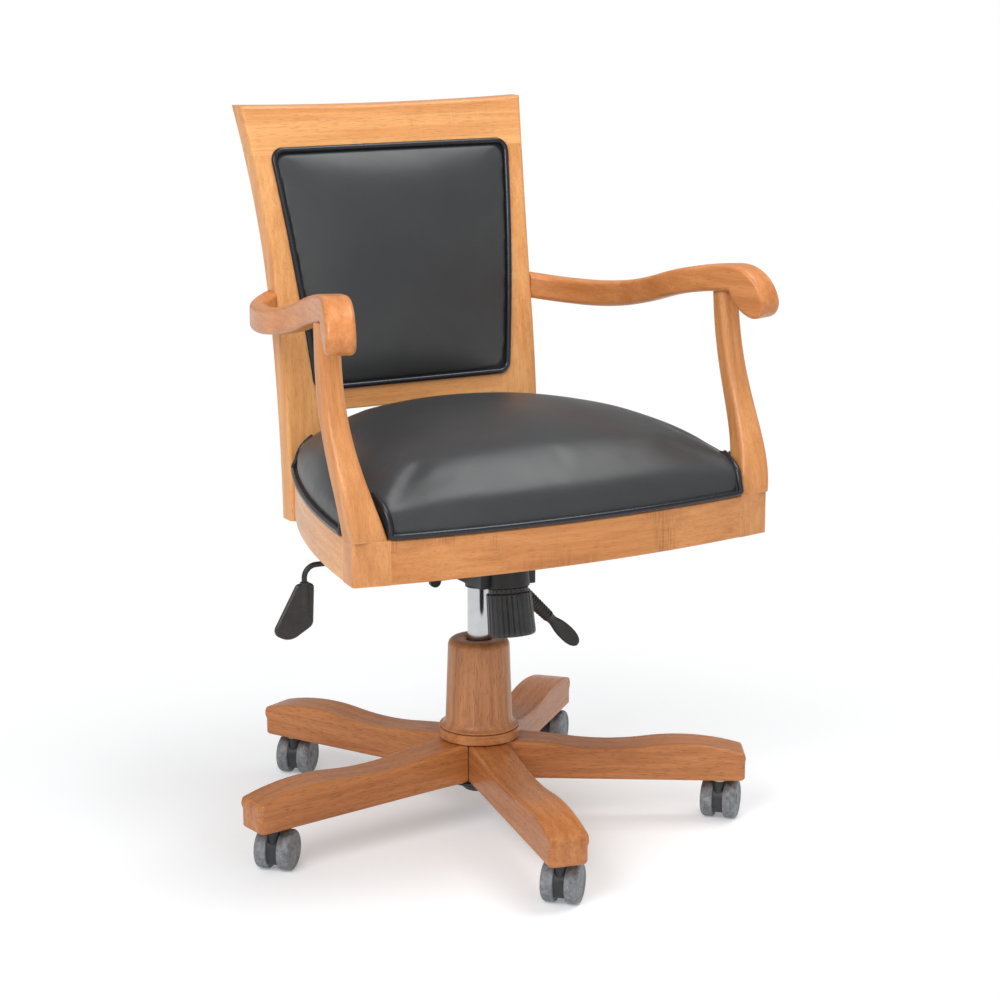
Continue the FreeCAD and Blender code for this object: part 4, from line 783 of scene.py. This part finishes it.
def frontWelt():
    half = welt["frontHalf"]
    flat = half - welt["turn"]
    points = []
    for step in range(welt["frontSteps"] + 1):
        x = -flat + 2 * flat * step / welt["frontSteps"]
        points.append(Vector((x, frontY(x), weltZ)))
    climbs = {}
    for side in (-1, 1):
        corner = Vector((side * half, frontY(half), weltZ))
        climbs[side] = turnPoints(corner, Vector((-side, 0, 0)), upZ, welt["turn"])[1:]
        for rise in climb(welt["frontRise"]):
            x = side * (half + rise * welt["spread"])
            y = frontY(half) + max(rimDepth(rise, welt["frontTop"]), welt["frontOut"])
            climbs[side].append(Vector((x, y, weltZ + rise)))
    return list(reversed(climbs[-1])) + points + climbs[1]


def sideWelt(side):
    start, end = welt["postRear"], welt["stileFront"]
    turn = welt["turn"]
    points = []
    for rise in reversed(climb(welt["postRise"])):
        y = start + rise * welt["postLean"]
        points.append(Vector((sideX(y) - max(rimDepth(rise, welt["sideTop"]), 0.0), y, weltZ + rise)))
    points += list(reversed(turnPoints(Vector((sideX(start), start, weltZ)), backY, upZ, turn)))
    for step in range(1, welt["sideSteps"]):
        y = start + turn + (end - start - 2 * turn) * step / welt["sideSteps"]
        points.append(Vector((sideX(y), y, weltZ)))
    points += turnPoints(Vector((sideX(end), end, weltZ)), -backY, upZ, turn)
    for rise in climb(welt["stileRise"]):
        x = sideX(end) - max(rimDepth(rise, welt["sideTop"]), 0.0)
        points.append(Vector((x, end + rise * welt["stileLean"], weltZ + rise)))
    return [Vector((side * point.x, point.y, point.z)) for point in points]


def laidOn(tree, points):
    # draws the climbing ends of a welt onto the pad, then evens them
    laid = []
    for point in points:
        share = ramp(point.z - weltZ, *welt["laidFrom"])
        place, normal = tree.find_nearest(point)[:2]
        laid.append(point.lerp(place + normal * welt["proud"], share))
    for again in range(welt["evenings"]):
        evened = [point.copy() for point in laid]
        for index in range(1, len(laid) - 1):
            if laid[index].z > weltZ + welt["evenFrom"]:
                evened[index] = (laid[index - 1] + laid[index] * 2 + laid[index + 1]) / 4
        laid = evened
    return laid


def tucked(points):
    # the same line moved in under the cushion, for a near-black cord of painted shadow in the tuck behind a
    # welt
    heart = tuckShadow["heart"] + upZ * cushionFoot
    return [point + (heart - point).normalized() * tuckShadow["tuck"] for point in points]


def cord(name, points, radius, material, closed=False):
    return newObject(name, weltMesh(name, points, radius, closed), material, "seat")


def makeSeatWelts(pad):
    corners = [vertex.co for vertex in pad.data.vertices]
    tree = BVHTree.FromPolygons(corners, [face.vertices[:] for face in pad.data.polygons])
    lines = {"Front": frontWelt(), "Left": sideWelt(-1), "Right": sideWelt(1)}
    for label, points in lines.items():
        points = laidOn(tree, points)
        piece = cord("seatWelt" + label, points, welt["radius"], weltHide)
        if label == "Front":
            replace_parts(piece, "seat_piping")
        # a near-black cord in the tuck behind each welt: painted shadow
        cord("seatTuckShadow" + label, tucked(points), tuckShadow["radius"], paintedShadow)


backCurve = {"frontY": 0.162, "centreZ": 0.358, "radius": 1.640, "depth": 0.029}
opening = {"low": 0.535, "high": 0.8345, "halfLow": 0.1397, "halfHigh": 0.1689, "cornerSteps": 7,
           "sideSteps": 24}


def onBack(x, z, offset):
    # a place behind the curved front of the back by the offset
    reach = backCurve["radius"] - offset
    centreY = backCurve["frontY"] + backCurve["radius"]
    return Vector((x, centreY - math.sqrt(reach ** 2 - (z - backCurve["centreZ"]) ** 2), z))


def openingLoop(inset, corner):
    # the opening's outline drawn in by inset, as (x, z) points
    low, high = opening["low"] + inset, opening["high"] - inset
    corners = [Vector((-opening["halfLow"] + inset, low)), Vector((opening["halfLow"] - inset, low)),
               Vector((opening["halfHigh"] - inset, high)), Vector((-opening["halfHigh"] + inset, high))]
    points = []
    for index, spot in enumerate(corners):
        before = (corners[index - 1] - spot).normalized()
        after = (corners[(index + 1) % 4] - spot).normalized()
        half = before.angle(after) / 2
        reach = corner / math.tan(half)
        centre = spot + (before + after).normalized() * (corner / math.sin(half))
        start = spot + before * reach - centre
        end = spot + after * reach - centre
        for step in range(opening["cornerSteps"] + 1):
            way = start.lerp(end, step / opening["cornerSteps"])
            points.append(centre + way.normalized() * corner)
        stretch = corners[(index + 1) % 4] - spot
        span = stretch.length - 2 * corner
        for step in range(1, opening["sideSteps"]):
            points.append(spot + after * reach + after * (span * step / opening["sideSteps"]))
    return points


spots = openingLoop(welt["radius"], welt["backCorner"])
loop = [onBack(spot.x, spot.y, welt["backProud"]) for spot in spots]
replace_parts(cord("backWelt", loop, welt["radius"], weltHide, True), "back_piping")
rearLoop = [onBack(spot.x, spot.y, welt["rearSet"]) for spot in spots]
cord("rearWelt", rearLoop, welt["radius"], weltHide, True)


# painted shadow: a dark band in the tuck between the back pad and its welt

tuckShadow = {"outer": 0.003, "inner": 0.016, "front": 0.0012, "rear": 0.0062, "corner": 0.0115, "tuck": 0.0042,
        "radius": 0.0031, "heart": Vector((0, -0.02, 0.02))}


def tuckShadowMesh():
    # a flat band round the opening, square in section
    outer, inner, front, rear = tuckShadow["outer"], tuckShadow["inner"], tuckShadow["front"], tuckShadow["rear"]
    loops = []
    for inset, offset in ((outer, front), (inner, front), (inner, rear), (outer, rear)):
        spots = openingLoop(inset, tuckShadow["corner"])
        loops.append([onBack(spot.x, spot.y, offset) for spot in spots])
    count = len(loops[0])
    corners = [point for loop in loops for point in loop]
    faces = []
    for ring in range(4):
        for step in range(count):
            after = (step + 1) % count
            here = ring * count
            beyond = (ring + 1) % 4 * count
            faces.append((here + step, here + after, beyond + after, beyond + step))
    mesh = bpy.data.meshes.new("backTuckShadow")
    mesh.from_pydata(corners, [], faces)
    mesh.validate()
    shade(mesh)
    return mesh


newObject("backTuckShadow", tuckShadowMesh(), paintedShadow, "seat")
print("welts made")


# padded pieces: the frame's soft solids, remeshed, blown up a little as cloth and smoothed

stuffing = {"tension": 12, "frames": 20, "soften": 0.5, "evenings": 4, "wrinkle": 0.0003}


def applied(piece):
    piece.data = bpy.data.meshes.new_from_object(evaluated(piece))
    piece.modifiers.clear()
    piece.vertex_groups.clear()


def smoothed(piece, free, rounds):
    group = piece.vertex_groups.new(name="free")
    for vertex in piece.data.vertices:
        group.add([vertex.index], free(vertex.co), "REPLACE")
    soften = piece.modifiers.new("soften", "SMOOTH")
    soften.factor = stuffing["soften"]
    soften.iterations = rounds
    soften.vertex_group = "free"
    applied(piece)


def paddedPiece(name, node, look):
    mesh = nodes[node].data.copy()
    mesh.name = name
    piece = bpy.data.objects.new(name, mesh)
    scene.collection.objects.link(piece)
    work = bmesh.new()
    work.from_mesh(mesh)
    bmesh.ops.remove_doubles(work, verts=work.verts, dist=1e-6)
    work.to_mesh(mesh)
    work.free()
    remesh = piece.modifiers.new("remesh", "REMESH")
    remesh.mode = "VOXEL"
    remesh.voxel_size = look["voxel"]
    even = piece.modifiers.new("even", "SMOOTH")
    even.factor = stuffing["soften"]
    even.iterations = stuffing["evenings"]
    applied(piece)
    if look["shape"]:
        places = look["shape"](piece.data)
        for vertex, place in zip(piece.data.vertices, places):
            vertex.co = place
    smoothed(piece, look["soft"], look["rounds"])
    rest = [vertex.co.copy() for vertex in piece.data.vertices]
    for vertex in piece.data.vertices:
        vertex.co -= vertex.normal * look["inset"] * look["free"](vertex.co)
    held = piece.vertex_groups.new(name="held")
    for vertex in piece.data.vertices:
        held.add([vertex.index], 1 - look["free"](rest[vertex.index]), "REPLACE")
    cloth = piece.modifiers.new("stuffing", "CLOTH")
    cloth.settings.use_pressure = True
    cloth.settings.uniform_pressure_force = look["pressure"]
    cloth.settings.tension_stiffness = stuffing["tension"]
    cloth.settings.compression_stiffness = stuffing["tension"]
    cloth.settings.bending_stiffness = look["bending"]
    cloth.settings.vertex_group_mass = "held"
    cloth.settings.effector_weights.gravity = 0
    cloth.point_cache.frame_start = 1
    cloth.point_cache.frame_end = stuffing["frames"]
    for number in range(1, stuffing["frames"] + 1):
        scene.frame_set(number)
    places = [vertex.co.copy() for vertex in evaluated(piece).data.vertices]
    piece.modifiers.clear()
    scene.frame_set(1)
    for vertex, place, start in zip(piece.data.vertices, places, rest):
        move = place - start
        if move.length > look["cap"]:
            move *= look["cap"] / move.length
        vertex.co = start + move
    smoothed(piece, look["soft"], look["calm"])
    for vertex in piece.data.vertices:
        height = noise.noise(vertex.co * look["wrinkle"]) * stuffing["wrinkle"] * look["free"](vertex.co)
        vertex.co += vertex.normal * height
    finer = piece.modifiers.new("finer", "SUBSURF")
    finer.levels = finer.render_levels = 1
    applied(piece)
    for face in piece.data.polygons:
        face.use_smooth = True
    dress(piece.data, seatHide)
    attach(piece, "seat")
    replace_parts(piece, node)
    print(name, "made with", len(piece.data.vertices), "points")
    return piece


# where the pads are held by the frame: heights over the rail, the front posts, and depths at the back
hold = {"seat": (0.004, 0.014), "postX": (0.212, 0.228), "postY": (0.15, 0.165), "postShare": 0.7,
        "back": 0.004, "backFade": 0.008, "rear": 0.002, "rearFade": 0.004}
padGrowth = {"x": 1.014, "z": 1.012}


def seatFree(place):
    return ramp(place.z - railTop, *hold["seat"])


def outline(place):
    # depth in from the rail's outline, the way in, and the crown's height where the rim runs out
    flat = Vector((abs(place.x), place.y, 0))
    fromFront = flat - frontCentre
    fromSide = flat - sideCentre
    frontIn = frontRadius - fromFront.length
    sideIn = sideRadius - fromSide.length
    share = ramp(sideIn - frontIn, -rim["turn"], rim["turn"])
    share = share * share * (3 - 2 * share)
    inward = -(fromFront.normalized() * share + fromSide.normalized() * (1 - share)).normalized()
    frontTop = rim["frontTop"] - rim["frontFall"] * place.x ** 2
    sideTop = rim["sideTop"] - rim["sideFall"] * (place.y - rim["sideMiddle"]) ** 2
    top = frontTop * share + sideTop * (1 - share)
    if place.x < 0:
        inward.x = -inward.x
    return min(frontIn, sideIn), inward, top


def roundRim(mesh):
    # turns the cushion's upright wall and shoulder into a round rim that runs out into the crown
    reach = rim["depth"] + rim["swell"]
    power = rim["power"]
    places = []
    for vertex in mesh.vertices:
        place = vertex.co.copy()
        depth, inward, top = outline(place)
        rise = place.z - cushionFoot
        if depth < rim["depth"] and rise > rim["flatFoot"]:
            slope = max(top - rim["edgeTop"], 0.0) / rim["depth"]
            across = (rim["depth"] - depth) / reach
            up = rise / (rim["edgeTop"] + slope * max(depth, 0.0))
            size = (across ** power + up ** power) ** (1 / power) / math.hypot(across, up)
            newDepth = rim["depth"] - across * size * reach
            corner = ramp(abs(place.x), *rim["cornerX"]) * ramp(-place.y, *rim["cornerY"])
            newTop = rim["edgeTop"] + slope * max(newDepth, 0.0)
            newRise = up * size * newTop * (1 - rim["low"] * corner)
            place = place + inward * (newDepth - depth)
            place.z = cushionFoot + newRise
        places.append(place)
    return places


def seatSoft(place):
    # smoothing is held back beside the front posts, where the hide is pulled tight round them
    post = ramp(abs(place.x), *hold["postX"]) * ramp(-place.y, *hold["postY"])
    return seatFree(place) * (1 - hold["postShare"] * post)


def backFree(place):
    front = onBack(0, place.z, 0).y
    return ramp(front + hold["back"] - place.y, 0.0, hold["backFade"])


def widened(mesh):
    # lets the pad's edge fill out to its welt
    heart = middle("back_pad")
    places = []
    for vertex in mesh.vertices:
        place = vertex.co.copy()
        place.x *= padGrowth["x"]
        place.z = heart.z + (place.z - heart.z) * padGrowth["z"]
        places.append(place)
    return places


def rearFree(place):
    rear = onBack(0, place.z, backCurve["depth"]).y
    return ramp(place.y - rear + hold["rear"], 0.0, hold["rearFade"])


seatStuffing = {"voxel": 0.005, "inset": 0.002, "pressure": 4.0, "bending": 1.0, "cap": 0.005,
                "fill": 0.75, "shape": roundRim, "free": seatFree, "soft": seatSoft, "wrinkle": 14,
                "rounds": 44, "calm": 16}
backStuffing = {"voxel": 0.0045, "inset": 0.0005, "pressure": 4.0, "bending": 1.0, "cap": 0.004,
                "fill": 0.7, "shape": widened, "free": backFree, "soft": backFree, "wrinkle": 13,
                "rounds": 6, "calm": 4}
rearStuffing = dict(backStuffing, pressure=3.0, cap=0.002, fill=0.6, shape=None, free=rearFree, soft=rearFree,
                    rounds=8)
seatPad = paddedPiece("seatPad", "seat_cushion", seatStuffing)
makeSeatWelts(seatPad)
paddedPiece("backPadFront", "back_pad", backStuffing)
paddedPiece("backPadRear", "rear_pad", rearStuffing)


# floor, light and camera

studio = {"floorHalf": 60.0, "floorColour": (0.84, 0.86, 0.88, 1), "lift": 0.24, "near": 0.42, "far": 0.85,
          "world": 0.54, "sensor": 36.0, "lens": 92.2, "cameraPlace": (-1.4643, -2.6995, 1.1157),
          "cameraAim": (0.4722, 0.8529, -0.2226), "lampTarget": (0, 0, 0.5)}


def makeFloor():
    mesh = bpy.data.meshes.new("studioFloor")
    half = studio["floorHalf"]
    corners = [(-half, -half, 0), (half, -half, 0), (half, half, 0), (-half, half, 0)]
    mesh.from_pydata(corners, [], [(0, 1, 2, 3)])
    floor = bpy.data.objects.new("studioFloor", mesh)
    scene.collection.objects.link(floor)
    material = bpy.data.materials.new("paleFloor")
    material.use_nodes = True
    tree = material.node_tree
    tree.nodes.clear()
    matt = put(tree, "ShaderNodeBsdfDiffuse", {"Color": studio["floorColour"]}).outputs[0]
    path = put(tree, "ShaderNodeLightPath").outputs
    seen = maths(tree, "MAXIMUM", path["Is Camera Ray"], path["Is Glossy Ray"])
    lift = times(tree, seen, studio["lift"])
    glow = put(tree, "ShaderNodeEmission", {"Strength": lift}).outputs[0]
    lit = put(tree, "ShaderNodeAddShader", {0: matt, 1: glow}).outputs[0]
    place = put(tree, "ShaderNodeTexCoord").outputs["Object"]
    away = put(tree, "ShaderNodeVectorMath", {0: place}, operation="LENGTH").outputs["Value"]
    sockets = {"Value": away, "From Min": studio["near"], "From Max": studio["far"]}
    fade = put(tree, "ShaderNodeMapRange", sockets, interpolation_type="SMOOTHSTEP").outputs[0]
    faded = times(tree, fade, seen)
    white = put(tree, "ShaderNodeEmission", {"Strength": 1.0}).outputs[0]
    both = put(tree, "ShaderNodeMixShader", {0: faded, 1: lit, 2: white}).outputs[0]
    put(tree, "ShaderNodeOutputMaterial", {"Surface": both})
    mesh.materials.append(material)


def makeWorld():
    world = bpy.data.worlds.new("studioWorld")
    scene.world = world
    world.use_nodes = True
    tree = world.node_tree
    tree.nodes.clear()
    path = put(tree, "ShaderNodeLightPath").outputs
    seen = maths(tree, "MAXIMUM", path["Is Camera Ray"], path["Is Transmission Ray"])
    strength = between(tree, seen, 0, 1, studio["world"], 1.0)
    back = put(tree, "ShaderNodeBackground", {"Strength": strength})
    put(tree, "ShaderNodeOutputWorld", {"Surface": back.outputs[0]})


def softbox(name, place, target, width, height, power):
    data = bpy.data.lights.new(name, "AREA")
    data.shape = "RECTANGLE"
    data.size = width
    data.size_y = height
    data.energy = power
    lamp = bpy.data.objects.new(name, data)
    lamp.location = place
    lamp.rotation_euler = (Vector(target) - Vector(place)).to_track_quat("-Z", "Y").to_euler()
    scene.collection.objects.link(lamp)


def makeCamera():
    data = bpy.data.cameras.new("camera")
    data.sensor_width = studio["sensor"]
    data.lens = studio["lens"]
    camera = bpy.data.objects.new("camera", data)
    camera.location = studio["cameraPlace"]
    camera.rotation_euler = Vector(studio["cameraAim"]).to_track_quat("-Z", "Y").to_euler()
    scene.collection.objects.link(camera)
    scene.camera = camera


makeFloor()
makeWorld()
softbox("keyBox", (-2.3, -1.5, 2.4), studio["lampTarget"], 1.6, 1.6, 58)
softbox("frontBox", (-0.6, -3.2, 1.7), (0, 0, 0.4), 2.4, 2.0, 13)
softbox("topBox", (0.8, -0.5, 2.8), studio["lampTarget"], 1.5, 1.3, 33)
makeCamera()
scene.view_settings.view_transform = "Standard"
print("studio made")
